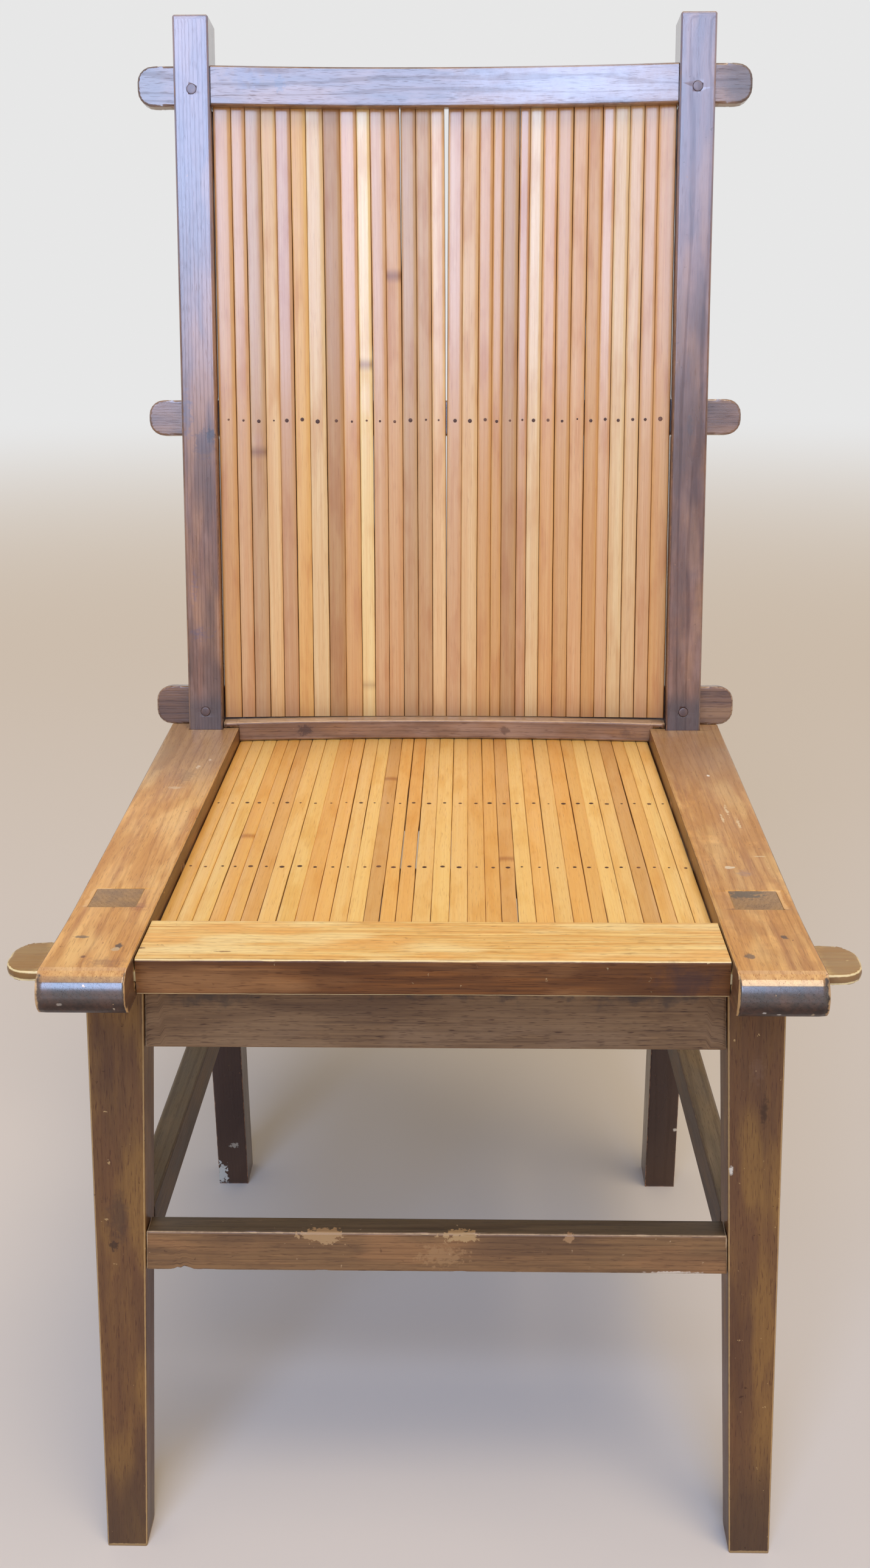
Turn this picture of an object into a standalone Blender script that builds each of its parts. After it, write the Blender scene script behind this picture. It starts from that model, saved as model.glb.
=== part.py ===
# Slatted wooden chair, built piece by piece with its mortises, tenons and pegs.
# Metres, +Z up, the sitter faces -Y. The origin is on the floor, under the middle of the chair.
# Left and right are as seen from the front: left is -X.
import math

import bmesh
import bpy
from mathutils import Matrix, Vector

# Fit and finish
clearance = 0.0003
overrun = 0.006
arris = 0.0012
arris_steps = 2
bar_cuts = 11
sharp_turn_share = 0.3
flat_angle = 0.002

# Seat frame
seat_height = 0.450
seat_opening = 0.3176
board_thickness = 0.0250
board_front_width = 0.0443
board_rear_width = 0.0543
nose_flare = 0.0026
nose_flare_length = 0.0950
nose_flare_power = 1.5
nose_flare_cuts = 4
board_tail = 0.0100
nose_radius = 0.0120
nose_steps = 5
front_rail_setback = 0.0270
front_rail_depth = 0.0530
front_rail_thickness = 0.0210
front_rail_drop = 0.0020
seat_tenon_width = 0.0390
seat_tenon_thickness = 0.0060
seat_ear_reach = 0.0255
seat_ear_round = 0.0150

# Front legs
nose_to_leg = 0.0905
leg_top_width = 0.0345
leg_foot_width = 0.0262
leg_outset = 0.0252
leg_splay = 0.0183
leg_tenon_width = 0.0275

# Back posts, which run from the floor through the side boards to the top
nose_to_post = 0.4490
chair_height = 0.9640
post_width = 0.0260
post_depth = 0.0340
post_outset = 0.0250
back_rake_deg = 9.2
rear_foot_kick = 0.0770
rear_foot_splay = 0.0077

# Back rails, measured along the raked back
rail_dish = 0.0090
back_tenon_thickness = 0.0120
back_ear_reach = 0.0275
back_ear_round = 0.0110
top_rail_height = 0.0279
top_rail_thickness = 0.0180
top_rail_setback = 0.0030
top_rail_below_horn = 0.0339
top_rail_rebate = 0.0120
middle_rail_height = 0.0262
middle_rail_rise = 0.2365
middle_rail_thickness = 0.0120
bottom_rail_rise = 0.0025
bottom_rail_height = 0.0295
bottom_rail_thickness = 0.0120
peg_diameter = 0.0070
peg_proud = 0.0006
peg_sides = 20
peg_blind_depth = 0.0300
peg_drop = 0.0033

# Rear seat rail
rear_rail_setback = 0.0030
rear_rail_depth = 0.0132
rear_rail_rise = 0.0045

# Slats
back_slat_count = 31
back_slat_thickness = 0.0045
back_slat_setback = 0.0117
seat_slat_count = 32
seat_slat_thickness = 0.0045
seat_slat_drop = 0.0110
slats_joined = 2
slat_round = 0.0012
slat_groove_share = 0.6
slat_gap = 0.0005

# Aprons, stretchers and seat battens
apron_depth = 0.0635
apron_thickness = 0.0160
apron_setback = 0.0030
stretcher_top = 0.2370
stretcher_height = 0.0275
stretcher_thickness = 0.0170
stretcher_setback = 0.0020
side_stretcher_front_inset = 0.0077
side_stretcher_rear_inset = 0.0055
tenon_shoulder = 0.0040
stub_tenon_length = 0.0090
mortise_wall = 0.0012
batten_width = 0.0220
batten_thickness = 0.0120
batten_tenon_length = 0.0060
batten_tenon_thickness = 0.0055
front_batten_from_nose = 0.1860
rear_batten_from_nose = 0.3075

# Levels worked out from the sizes above
back_rake = math.radians(back_rake_deg)
board_bottom = seat_height - board_thickness
slat_top = seat_height - seat_slat_drop
slat_bottom = slat_top - seat_slat_thickness
front_rail_top = seat_height - front_rail_drop
front_rail_bottom = front_rail_top - front_rail_thickness
apron_top = board_bottom - clearance
apron_bottom = apron_top - apron_depth
support_top = slat_bottom - clearance
rear_rail_top = seat_height + rear_rail_rise
stretcher_bottom = stretcher_top - stretcher_height

# Widths, as half distances from the middle plane
opening_half = seat_opening / 2
post_centre = opening_half + post_outset
post_inner = post_centre - post_width / 2
post_outer = post_centre + post_width / 2
board_front_outer = opening_half + board_front_width
board_rear_outer = opening_half + board_rear_width


def dish(x):
    """How far the back bows rearwards at x: nothing at the posts, rail_dish in the middle."""
    return rail_dish * (1 - (x / post_inner) ** 2)


# Back frame: x across, y behind the front plane of the posts, z up along the rake
horn_top = (chair_height - seat_height) / math.cos(back_rake)
back_post_depth = post_depth * math.cos(back_rake)
top_rail_top = horn_top - top_rail_below_horn
top_rail_bottom = top_rail_top - top_rail_height
middle_rail_bottom = middle_rail_rise - middle_rail_height / 2
slat_front = back_slat_setback
rail_front = slat_front + back_slat_thickness + clearance
tenon_front = rail_front + dish(post_inner - overrun)
top_tenon_front = top_rail_setback + (top_rail_thickness - back_tenon_thickness) / 2

# Depths, measured back from the front of the noses
horn_reach = horn_top * math.sin(back_rake) + back_post_depth * math.cos(back_rake)
post_top_rear = nose_to_post + horn_reach
foot_rear = nose_to_post + rear_foot_kick + post_depth
chair_depth = max(post_top_rear, foot_rear)
nose_y = -chair_depth / 2
leg_front_y = nose_y + nose_to_leg
leg_centre_y = leg_front_y + leg_top_width / 2
front_rail_y = nose_y + front_rail_setback
front_rail_rear_y = front_rail_y + front_rail_depth
post_front_y = nose_y + nose_to_post
post_rear_y = post_front_y + post_depth
board_rear_y = post_rear_y + board_tail
board_length = board_rear_y - nose_y
rear_rail_y = post_front_y + rear_rail_setback
seat_slat_front_y = front_rail_rear_y + clearance


def clear_scene():
    for old in list(bpy.data.objects):
        bpy.data.objects.remove(old)


def new_collection(name, hidden=False):
    made = bpy.data.collections.new(name)
    made.hide_render = hidden
    bpy.context.scene.collection.children.link(made)
    return made


def wood(name, colour, roughness):
    material = bpy.data.materials.new(name)
    material.use_nodes = True
    shader = material.node_tree.nodes["Principled BSDF"]
    shader.inputs["Base Color"].default_value = (*colour, 1.0)
    shader.inputs["Roughness"].default_value = roughness
    shader.inputs["Metallic"].default_value = 0.0
    return material


clear_scene()
chair = new_collection("slatted_chair")
cutters = new_collection("cutters", hidden=True)
dark_stain = wood("dark_stained_hardwood", (0.105, 0.048, 0.026), 0.38)
worn_stain = wood("worn_stained_hardwood", (0.16, 0.082, 0.047), 0.5)
bamboo_back = wood("aged_bamboo", (0.50, 0.32, 0.20), 0.42)
bamboo_seat = wood("golden_bamboo", (0.52, 0.30, 0.13), 0.42)
peg_wood = wood("peg_end_grain", (0.07, 0.03, 0.017), 0.55)

back_frame = bpy.data.objects.new("back_frame", None)
back_frame.location = (0, post_front_y, seat_height)
back_frame.rotation_euler = (-back_rake, 0, 0)
chair.objects.link(back_frame)
bpy.context.view_layer.update()


def leg_half_width(z):
    share = z / board_bottom
    return (leg_foot_width + (leg_top_width - leg_foot_width) * share) / 2


def leg_centre_x(z):
    return opening_half + leg_outset + leg_splay * (board_bottom - z) / board_bottom


def leg_inner_x(z):
    return leg_centre_x(z) - leg_half_width(z)


def leg_rear_y(z):
    return leg_front_y + 2 * leg_half_width(z)


def rear_leg_front_y(z):
    """Front face of the rear leg, which kicks back below the side board."""
    return post_front_y + rear_foot_kick * (board_bottom - z) / board_bottom


def behind_side_tenon(z):
    """Where a rear bar that reaches down to z clears the tenon of the side bar in the same leg."""
    return rear_leg_front_y(z) + stub_tenon_length + mortise_wall - tenon_shoulder


def rear_leg_centre_x(z):
    return post_centre + rear_foot_splay * (board_bottom - z) / board_bottom


def rear_leg_inner_x(z):
    return rear_leg_centre_x(z) - post_width / 2


front_apron_y = leg_front_y + apron_setback
rear_apron_y = behind_side_tenon(apron_bottom)
stretcher_y = leg_front_y + stretcher_setback
rear_stretcher_y = behind_side_tenon(stretcher_bottom)
seat_slat_rear_y = rear_apron_y + apron_thickness
seat_slat_length = seat_slat_rear_y - seat_slat_front_y


def add_box(bm, low, high):
    """A box between two corners; returns its vertices."""
    low, high = Vector(low), Vector(high)
    middle = (low + high) / 2
    size = high - low
    place = Matrix.Translation(middle) @ Matrix.Diagonal((abs(size.x), abs(size.y), abs(size.z), 1))
    return bmesh.ops.create_cube(bm, size=1, matrix=place)["verts"]


def ease(bm, chosen, width=arris, steps=arris_steps):
    """Rounds the edges that chosen(edge) picks."""
    edges = [edge for edge in bm.edges if chosen(edge)]
    bmesh.ops.bevel(
        bm, geom=edges, offset=width, offset_type="OFFSET", segments=steps,
        profile=0.5, affect="EDGES", clamp_overlap=True, material=-1,
    )


def is_sharp(edge):
    return edge.calc_face_angle(0) > sharp_turn_share * math.pi


def runs_along(axis):
    """Picks the sharp edges that run mostly along one axis."""
    def chosen(edge):
        run = edge.verts[1].co - edge.verts[0].co
        others = [abs(run[i]) for i in range(3) if i != axis]
        return abs(run[axis]) > 2 * max(others) and is_sharp(edge)
    return chosen


def finish(bm, name, collection, material=None, parent=None):
    bmesh.ops.recalc_face_normals(bm, faces=bm.faces)
    if bm.calc_volume(signed=True) < 0:
        bmesh.ops.reverse_faces(bm, faces=bm.faces)
    mesh = bpy.data.meshes.new(name)
    bm.to_mesh(mesh)
    bm.free()
    piece = bpy.data.objects.new(name, mesh)
    collection.objects.link(piece)
    if parent:
        piece.parent = parent
    if material:
        mesh.materials.append(material)
    else:
        piece.hide_render = True
        piece.display_type = "WIRE"
    return piece


def cutter_box(name, low, high, parent=None):
    bm = bmesh.new()
    add_box(bm, low, high)
    return finish(bm, name, cutters, parent=parent)


def cut(piece, *tools):
    for tool in tools:
        modifier = piece.modifiers.new(tool.name, "BOOLEAN")
        modifier.operation = "DIFFERENCE"
        modifier.object = tool


def grown(low, high, x=clearance, y=clearance, z=clearance):
    """The box between two corners, larger by a clearance on each side."""
    low, high = Vector(low), Vector(high)
    grow = Vector((x, y, z))
    return low - grow, high + grow


def end_face(bm, axis, sign):
    return max(bm.faces, key=lambda face: sign * face.calc_center_median()[axis])


def add_tenon(bm, axis, sign, shoulder, length):
    """Draws a tenon out of the end of a bar, smaller than it by the shoulder on every side."""
    face = end_face(bm, axis, sign)
    bmesh.ops.inset_individual(bm, faces=[face], thickness=shoulder, use_even_offset=True)
    made = bmesh.ops.extrude_discrete_faces(bm, faces=[face])["faces"][0]
    for vertex in made.verts:
        vertex.co[axis] += sign * length


def stub_tenoned_bar(low, high, axis, ends, slant):
    """A bar with a stub tenon at each end. slant(vertex, sign) gives where each shoulder lies."""
    bm = bmesh.new()
    vertices = add_box(bm, low, high)
    middle = (Vector(low) + Vector(high)) / 2
    for vertex in vertices:
        sign = 1 if vertex.co[axis] > middle[axis] else -1
        vertex.co[axis] = slant(vertex.co, sign)
    for sign in ends:
        add_tenon(bm, axis, sign, tenon_shoulder, stub_tenon_length)
    return bm


def bar_arris(edge, axis):
    """The long outer edges of a bar, without those of its tenons."""
    return runs_along(axis)(edge) and edge.calc_length() > 2 * stub_tenon_length


# Side boards

def board_outer_x(y):
    """Outer edge of a side board: straight, then flared a little towards the nose."""
    straight = board_front_outer + (board_rear_outer - board_front_outer) * (y - nose_y) / board_length
    share = max(0, 1 - (y - nose_y) / nose_flare_length)
    return straight + nose_flare * share ** nose_flare_power


def side_board(name, side):
    bm = bmesh.new()
    add_box(
        bm,
        (opening_half, nose_y, board_bottom),
        (board_front_outer, board_rear_y, seat_height),
    )
    for i in range(nose_flare_cuts):
        cut_y = nose_y + nose_flare_length * (i + 1) / nose_flare_cuts
        bmesh.ops.bisect_plane(bm, geom=bm.verts[:] + bm.edges[:] + bm.faces[:],
                               plane_co=(0, cut_y, 0), plane_no=(0, 1, 0))
    for vertex in bm.verts:
        if vertex.co.x > opening_half + clearance:
            vertex.co.x = board_outer_x(vertex.co.y)
    bmesh.ops.dissolve_limit(bm, angle_limit=flat_angle, verts=bm.verts[:], edges=bm.edges[:])
    front = nose_y + clearance
    ease(bm, lambda edge: all(vertex.co.y < front for vertex in edge.verts)
         and abs(edge.verts[0].co.z - edge.verts[1].co.z) < clearance, nose_radius, nose_steps)
    ease(bm, lambda edge: runs_along(1)(edge) and edge.calc_length() > nose_radius / 2)
    for vertex in bm.verts:
        vertex.co.x *= side
    return finish(bm, name, chair, dark_stain)


# Front seat rail: a wide board whose thin tenons pass through both side boards

def seat_ear_end():
    return board_outer_x(front_rail_y + seat_tenon_width / 2) + seat_ear_reach


def seat_tenon_box(side):
    middle = (front_rail_top + front_rail_bottom) / 2
    half = seat_tenon_thickness / 2
    inner = side * (opening_half - overrun)
    outer = side * seat_ear_end()
    return (
        Vector((min(inner, outer), front_rail_y, middle - half)),
        Vector((max(inner, outer), front_rail_y + seat_tenon_width, middle + half)),
    )


def front_seat_rail():
    bm = bmesh.new()
    reach = opening_half - clearance
    add_box(bm, (-reach, front_rail_y, front_rail_bottom), (reach, front_rail_rear_y, front_rail_top))
    ease(bm, runs_along(0), arris)
    rail = finish(bm, "front_seat_rail", chair, dark_stain)
    for side, label in ((-1, "left"), (1, "right")):
        low, high = seat_tenon_box(side)
        bm = bmesh.new()
        add_box(bm, low, high)
        tip = side * seat_ear_end()
        ease(bm, lambda edge: all(abs(vertex.co.x - tip) < clearance for vertex in edge.verts)
             and runs_along(2)(edge), seat_ear_round, nose_steps)
        tenon = finish(bm, "front_seat_rail_tenon_" + label, cutters)
        join = rail.modifiers.new("tenon_" + label, "BOOLEAN")
        join.operation = "UNION"
        join.object = tenon
    return rail


# Front legs: square, tapered and splayed, with a tenon through the side board

def front_leg(name, side):
    bm = bmesh.new()
    corners = add_box(bm, (-1, -1, 0), (1, 1, board_bottom - clearance))
    for vertex in corners:
        half = leg_half_width(vertex.co.z)
        vertex.co.x = leg_centre_x(vertex.co.z) + half * vertex.co.x
        vertex.co.y = leg_front_y + half + half * vertex.co.y
    top = end_face(bm, 2, 1)
    shoulder = (leg_top_width - leg_tenon_width) / 2
    bmesh.ops.inset_individual(bm, faces=[top], thickness=shoulder, use_even_offset=True)
    tenon = bmesh.ops.extrude_discrete_faces(bm, faces=[top])["faces"][0]
    for vertex in tenon.verts:
        vertex.co.z = seat_height
    ease(bm, lambda edge: runs_along(2)(edge) and edge.calc_length() > 2 * board_thickness)
    for vertex in bm.verts:
        vertex.co.x *= side
    return finish(bm, name, chair, dark_stain)


def leg_mortise(name, side):
    half = leg_tenon_width / 2
    centre = side * leg_centre_x(board_bottom)
    low, high = grown(
        (centre - half, leg_centre_y - half, board_bottom),
        (centre + half, leg_centre_y + half, seat_height),
        z=overrun,
    )
    return cutter_box(name, low, high)


# Back posts: one length of timber each, kicked back below the seat and raked above it

def back_post(name, side):
    bm = bmesh.new()
    half = post_width / 2
    corners = add_box(bm, (-half, -1, -1), (half, 1, 1))
    for vertex in corners:
        if vertex.co.z < 0:
            vertex.co.y = post_front_y if vertex.co.y < 0 else post_rear_y
            vertex.co.z = board_bottom
        else:
            vertex.co.y = post_front_y if vertex.co.y < 0 else post_rear_y
            vertex.co.z = seat_height
    up = end_face(bm, 2, 1)
    made = bmesh.ops.extrude_discrete_faces(bm, faces=[up])["faces"][0]
    for vertex in made.verts:
        back = 0 if vertex.co.y < (post_front_y + post_rear_y) / 2 else back_post_depth
        vertex.co = back_frame.matrix_world @ Vector((vertex.co.x, back, horn_top))
    down = end_face(bm, 2, -1)
    made = bmesh.ops.extrude_discrete_faces(bm, faces=[down])["faces"][0]
    for vertex in made.verts:
        vertex.co.z = 0
        vertex.co.y += rear_foot_kick
        vertex.co.x += rear_foot_splay
    ease(bm, lambda edge: edge.calc_length() > board_thickness / 2 and runs_along(2)(edge))
    top = end_face(bm, 2, 1)
    ease(bm, lambda edge: edge in top.edges)
    for vertex in bm.verts:
        vertex.co.x = side * (vertex.co.x + post_centre)
    return finish(bm, name, chair, dark_stain)


def post_mortise(name, side):
    low, high = grown(
        (side * post_centre - post_width / 2, post_front_y, board_bottom),
        (side * post_centre + post_width / 2, post_rear_y, seat_height),
        z=overrun,
    )
    return cutter_box(name, low, high)


# Back rails: dished between the posts, with tenons that pass through them as rounded ears

def dished_bar(half_length, low_y, high_y, low_z, high_z):
    bm = bmesh.new()
    add_box(bm, (-half_length, low_y, low_z), (half_length, high_y, high_z))
    long_edges = [edge for edge in bm.edges if runs_along(0)(edge)]
    bmesh.ops.subdivide_edges(bm, edges=long_edges, cuts=bar_cuts, use_grid_fill=True)
    for vertex in bm.verts:
        vertex.co.y += dish(vertex.co.x)
    return bm


def ear_box(side, ear_front, low_z, high_z):
    inner = side * (post_inner - overrun)
    outer = side * (post_outer + back_ear_reach)
    return (
        Vector((min(inner, outer), ear_front, low_z)),
        Vector((max(inner, outer), ear_front + back_tenon_thickness, high_z)),
    )


def back_rail(name, front, thickness, ear_front, low_z, height, rebate=0.0):
    half_length = post_inner - clearance
    bm = dished_bar(half_length, front, front + thickness, low_z, low_z + height)
    ease(bm, runs_along(0))
    rail = finish(bm, name, chair, dark_stain, back_frame)
    for side, label in ((-1, "left"), (1, "right")):
        low, high = ear_box(side, ear_front, low_z, low_z + height)
        bm = bmesh.new()
        add_box(bm, low, high)
        tip = high.x if side > 0 else low.x
        ease(bm, lambda edge: all(abs(vertex.co.x - tip) < clearance for vertex in edge.verts)
             and runs_along(1)(edge), back_ear_round, nose_steps)
        ease(bm, lambda edge: is_sharp(edge) and not runs_along(1)(edge)
             and min(abs(vertex.co.x) for vertex in edge.verts) > post_inner)
        tenon = finish(bm, name + "_tenon_" + label, cutters, parent=back_frame)
        join = rail.modifiers.new("tenon_" + label, "BOOLEAN")
        join.operation = "UNION"
        join.object = tenon
    if rebate:
        notch = dished_bar(
            post_inner, slat_front - clearance, front + thickness + overrun,
            low_z - overrun, low_z + rebate,
        )
        cut(rail, finish(notch, name + "_rebate", cutters, parent=back_frame))
    return rail


def ear_mortise(name, side, ear_front, low_z, height):
    low, high = ear_box(side, ear_front, low_z, low_z + height)
    low, high = grown(low, high, x=overrun)
    return cutter_box(name, low, high, back_frame)


def rail_housing(name, side):
    """Where the heel of the bottom rail, which leans back with the rake, is let into a side board."""
    inner = side * (opening_half - overrun)
    outer = side * (post_outer + back_ear_reach + overrun)
    rear = rail_front + dish(opening_half) + bottom_rail_thickness
    low, high = grown(
        (min(inner, outer), rail_front, bottom_rail_rise),
        (max(inner, outer), rear, bottom_rail_rise + bottom_rail_height),
    )
    return cutter_box(name, low, high, back_frame)


# Pegs that lock the top and bottom rails into the posts

def add_peg(bm, side, height_z, radius, front, rear):
    depth = rear - front
    place = Matrix.Translation((side * post_centre, front + depth / 2, height_z))
    turn = Matrix.Rotation(math.pi / 2, 4, "X")
    bmesh.ops.create_cone(
        bm, cap_ends=True, segments=peg_sides, radius1=radius, radius2=radius,
        depth=depth, matrix=place @ turn,
    )


def peg_and_bore(name, side, height_z):
    bm = bmesh.new()
    add_peg(bm, side, height_z, peg_diameter / 2, -peg_proud, peg_blind_depth)
    peg = finish(bm, name, chair, peg_wood, back_frame)
    bm = bmesh.new()
    add_peg(bm, side, height_z, peg_diameter / 2 + clearance, -overrun, peg_blind_depth + clearance)
    bore = finish(bm, name + "_bore", cutters, parent=back_frame)
    return peg, bore


# Rear seat rail: lies between the side boards, with a thin lap over each up to the post

def rear_seat_rail():
    bm = dished_bar(
        post_inner - clearance, rear_rail_y, rear_rail_y + rear_rail_depth,
        slat_top + clearance, rear_rail_top,
    )
    ease(bm, runs_along(0))
    rail = finish(bm, "rear_seat_rail", chair, worn_stain)
    for side, label in ((-1, "left"), (1, "right")):
        inner = side * (opening_half - clearance)
        outer = side * (post_inner + overrun)
        cut(rail, cutter_box(
            "rear_seat_rail_lap_" + label,
            (min(inner, outer), rear_rail_y - overrun, slat_top - overrun),
            (max(inner, outer), rear_rail_y + rear_rail_depth + overrun, seat_height + clearance),
        ))
    return rail


# Slats: bundles of neighbours that touch, each bundle one outline with a groove at every joint

def slat_outline(count, width, thickness):
    """Cross-section of a bundle, face up: x across, z from the back of the slats to their face."""
    total = count * width
    groove = thickness - slat_round * slat_groove_share
    shoulder = thickness - slat_round
    points = [(-total / 2, 0), (total / 2, 0), (total / 2, shoulder)]
    for joint in range(count, 0, -1):
        right = -total / 2 + joint * width
        left = right - width
        points.append((right - slat_round, thickness))
        points.append((left + slat_round, thickness))
        if joint > 1:
            points.append((left, groove))
    points.append((-total / 2, shoulder))
    return points


def extruded(points, length):
    """A mesh of an outline in X and Z, drawn along Y from zero to length."""
    curve = bpy.data.curves.new("outline", "CURVE")
    curve.dimensions = "2D"
    curve.fill_mode = "BOTH"
    curve.extrude = length / 2
    spline = curve.splines.new("POLY")
    spline.points.add(len(points) - 1)
    for point, (x, z) in zip(spline.points, points):
        point.co = (x, z, 0, 1)
    spline.use_cyclic_u = True
    holder = bpy.data.objects.new("outline", curve)
    bpy.context.scene.collection.objects.link(holder)
    graph = bpy.context.evaluated_depsgraph_get()
    graph.update()
    mesh = bpy.data.meshes.new_from_object(holder.evaluated_get(graph))
    bm = bmesh.new()
    bm.from_mesh(mesh)
    bpy.data.objects.remove(holder)
    bpy.data.curves.remove(curve)
    bpy.data.meshes.remove(mesh)
    bmesh.ops.remove_doubles(bm, verts=bm.verts, dist=clearance / 10)
    turn = Matrix.Rotation(math.pi / 2, 4, "X")
    bmesh.ops.transform(bm, matrix=Matrix.Translation((0, length / 2, 0)) @ turn, verts=bm.verts)
    return bm


def bundles(count):
    """First slat and number of slats in each bundle."""
    return [(first, min(slats_joined, count - first)) for first in range(0, count, slats_joined)]


def bundle_name(field, first, number):
    if number == 1:
        return f"{field}_slat_{first + 1:02d}"
    return f"{field}_slats_{first + 1:02d}_{first + number:02d}"


def seat_slats():
    span = seat_opening - 2 * clearance
    pitch = span / seat_slat_count
    shared = {}
    for first, number in bundles(seat_slat_count):
        if number not in shared:
            width = pitch - slat_gap / number
            bm = extruded(slat_outline(number, width, seat_slat_thickness), seat_slat_length)
            holder = finish(bm, "seat_slat_mesh", chair, bamboo_seat)
            shared[number] = holder.data
            bpy.data.objects.remove(holder)
        piece = bpy.data.objects.new(bundle_name("seat", first, number), shared[number])
        piece.location = (-span / 2 + (first + number / 2) * pitch, seat_slat_front_y, slat_bottom)
        chair.objects.link(piece)


def back_slat_foot(y):
    """Height, along the rake, of the level cut that stands on the rear seat rail."""
    return (rear_rail_rise + clearance + y * math.sin(back_rake)) / math.cos(back_rake)


def back_slats():
    span = 2 * (post_inner - clearance)
    pitch = span / back_slat_count
    top = top_rail_bottom + top_rail_rebate - clearance
    for first, number in bundles(back_slat_count):
        centre = -span / 2 + (first + number / 2) * pitch
        width = pitch - slat_gap / number
        bm = extruded(slat_outline(number, width, back_slat_thickness), top)
        lean = math.atan(-2 * rail_dish * centre / post_inner ** 2)
        stand = Matrix.Rotation(math.pi / 2, 4, "X")
        place = Matrix.Translation((centre, slat_front + back_slat_thickness + dish(centre), 0))
        bmesh.ops.transform(bm, matrix=place @ Matrix.Rotation(lean, 4, "Z") @ stand, verts=bm.verts)
        for vertex in bm.verts:
            if vertex.co.z < top / 2:
                vertex.co.z = back_slat_foot(vertex.co.y)
        finish(bm, bundle_name("back", first, number), chair, bamboo_back, back_frame)


# Aprons, stretchers and battens

def stub_mortise(name, low, high, axis, sign, face):
    """The mortise for a stub tenon of a bar between low and high, in the face that lies at face(z)."""
    shrink = clearance - tenon_shoulder
    low, high = grown(low, high, shrink, shrink, shrink)
    bm = bmesh.new()
    low[axis], high[axis] = -overrun, overrun
    for vertex in add_box(bm, low, high):
        inside = vertex.co[axis] * sign > 0
        depth = stub_tenon_length + clearance if inside else -overrun
        vertex.co[axis] = face(vertex.co.z) + sign * depth
    return finish(bm, name, cutters)


def cross_bar(name, low, high, inner_x, material):
    """A bar across the chair whose shoulders follow the splay of the legs at inner_x(z)."""
    bm = stub_tenoned_bar(low, high, 0, (-1, 1), lambda co, sign: sign * (inner_x(co.z) - clearance))
    ease(bm, lambda edge: bar_arris(edge, 0))
    return finish(bm, name, chair, material)


def cross_mortise(name, low, high, side, inner_x):
    return stub_mortise(name, low, high, 0, side, lambda z: side * inner_x(z))


def side_bar(name, side, front_x, rear_x, thickness, low_z, high_z, material):
    """A bar from the front leg to the post. Its shoulders follow the slope of both."""
    def shoulder_y(co, sign):
        if sign > 0:
            return rear_leg_front_y(co.z) - clearance
        return leg_rear_y(co.z) + clearance

    low = (-thickness / 2, leg_rear_y(low_z), low_z)
    high = (thickness / 2, rear_leg_front_y(high_z), high_z)
    bm = stub_tenoned_bar(low, high, 1, (-1, 1), shoulder_y)
    ease(bm, lambda edge: bar_arris(edge, 1))
    front, rear = leg_rear_y(low_z), rear_leg_front_y(low_z)
    for vertex in bm.verts:
        share = min(max((vertex.co.y - front) / (rear - front), 0), 1)
        vertex.co.x = side * (front_x + (rear_x - front_x) * share + vertex.co.x)
    return finish(bm, name, chair, material)


def side_mortises(name, side, front_x, rear_x, thickness, low_z, high_z):
    ends = (("front", front_x, leg_rear_y, -1), ("rear", rear_x, rear_leg_front_y, 1))
    made = []
    for label, x, face, sign in ends:
        low = (side * x - thickness / 2, 0, low_z)
        high = (side * x + thickness / 2, 0, high_z)
        made.append(stub_mortise(name + "_" + label, low, high, 1, sign, face))
    return made


def batten(name, centre_y, material):
    half = batten_width / 2
    reach = opening_half - clearance
    low = (-reach, centre_y - half, support_top - batten_thickness)
    bm = bmesh.new()
    add_box(bm, low, (reach, centre_y + half, support_top))
    ease(bm, runs_along(0))
    piece = finish(bm, name, chair, material)
    bm = bmesh.new()
    add_box(bm, *batten_tenon(centre_y))
    tenon = finish(bm, name + "_tenons", cutters)
    join = piece.modifiers.new("tenons", "BOOLEAN")
    join.operation = "UNION"
    join.object = tenon
    return piece


def batten_tenon(centre_y):
    reach = opening_half + batten_tenon_length
    half = batten_width / 2 - tenon_shoulder
    top = support_top - clearance
    low = Vector((-reach, centre_y - half, top - batten_tenon_thickness))
    return low, Vector((reach, centre_y + half, top))


# The chair, put together

sides = ((-1, "left"), (1, "right"))
boards = {side: side_board("side_board_" + label, side) for side, label in sides}
front_legs = {side: front_leg("front_leg_" + label, side) for side, label in sides}
posts = {side: back_post("back_post_" + label, side) for side, label in sides}
front_seat_rail()
rear_seat_rail()

for side, label in sides:
    low, high = seat_tenon_box(side)
    cut(
        boards[side],
        leg_mortise("leg_mortise_" + label, side),
        post_mortise("post_mortise_" + label, side),
        cutter_box("seat_tenon_slot_" + label, *grown(low, high, x=overrun)),
    )

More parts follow.
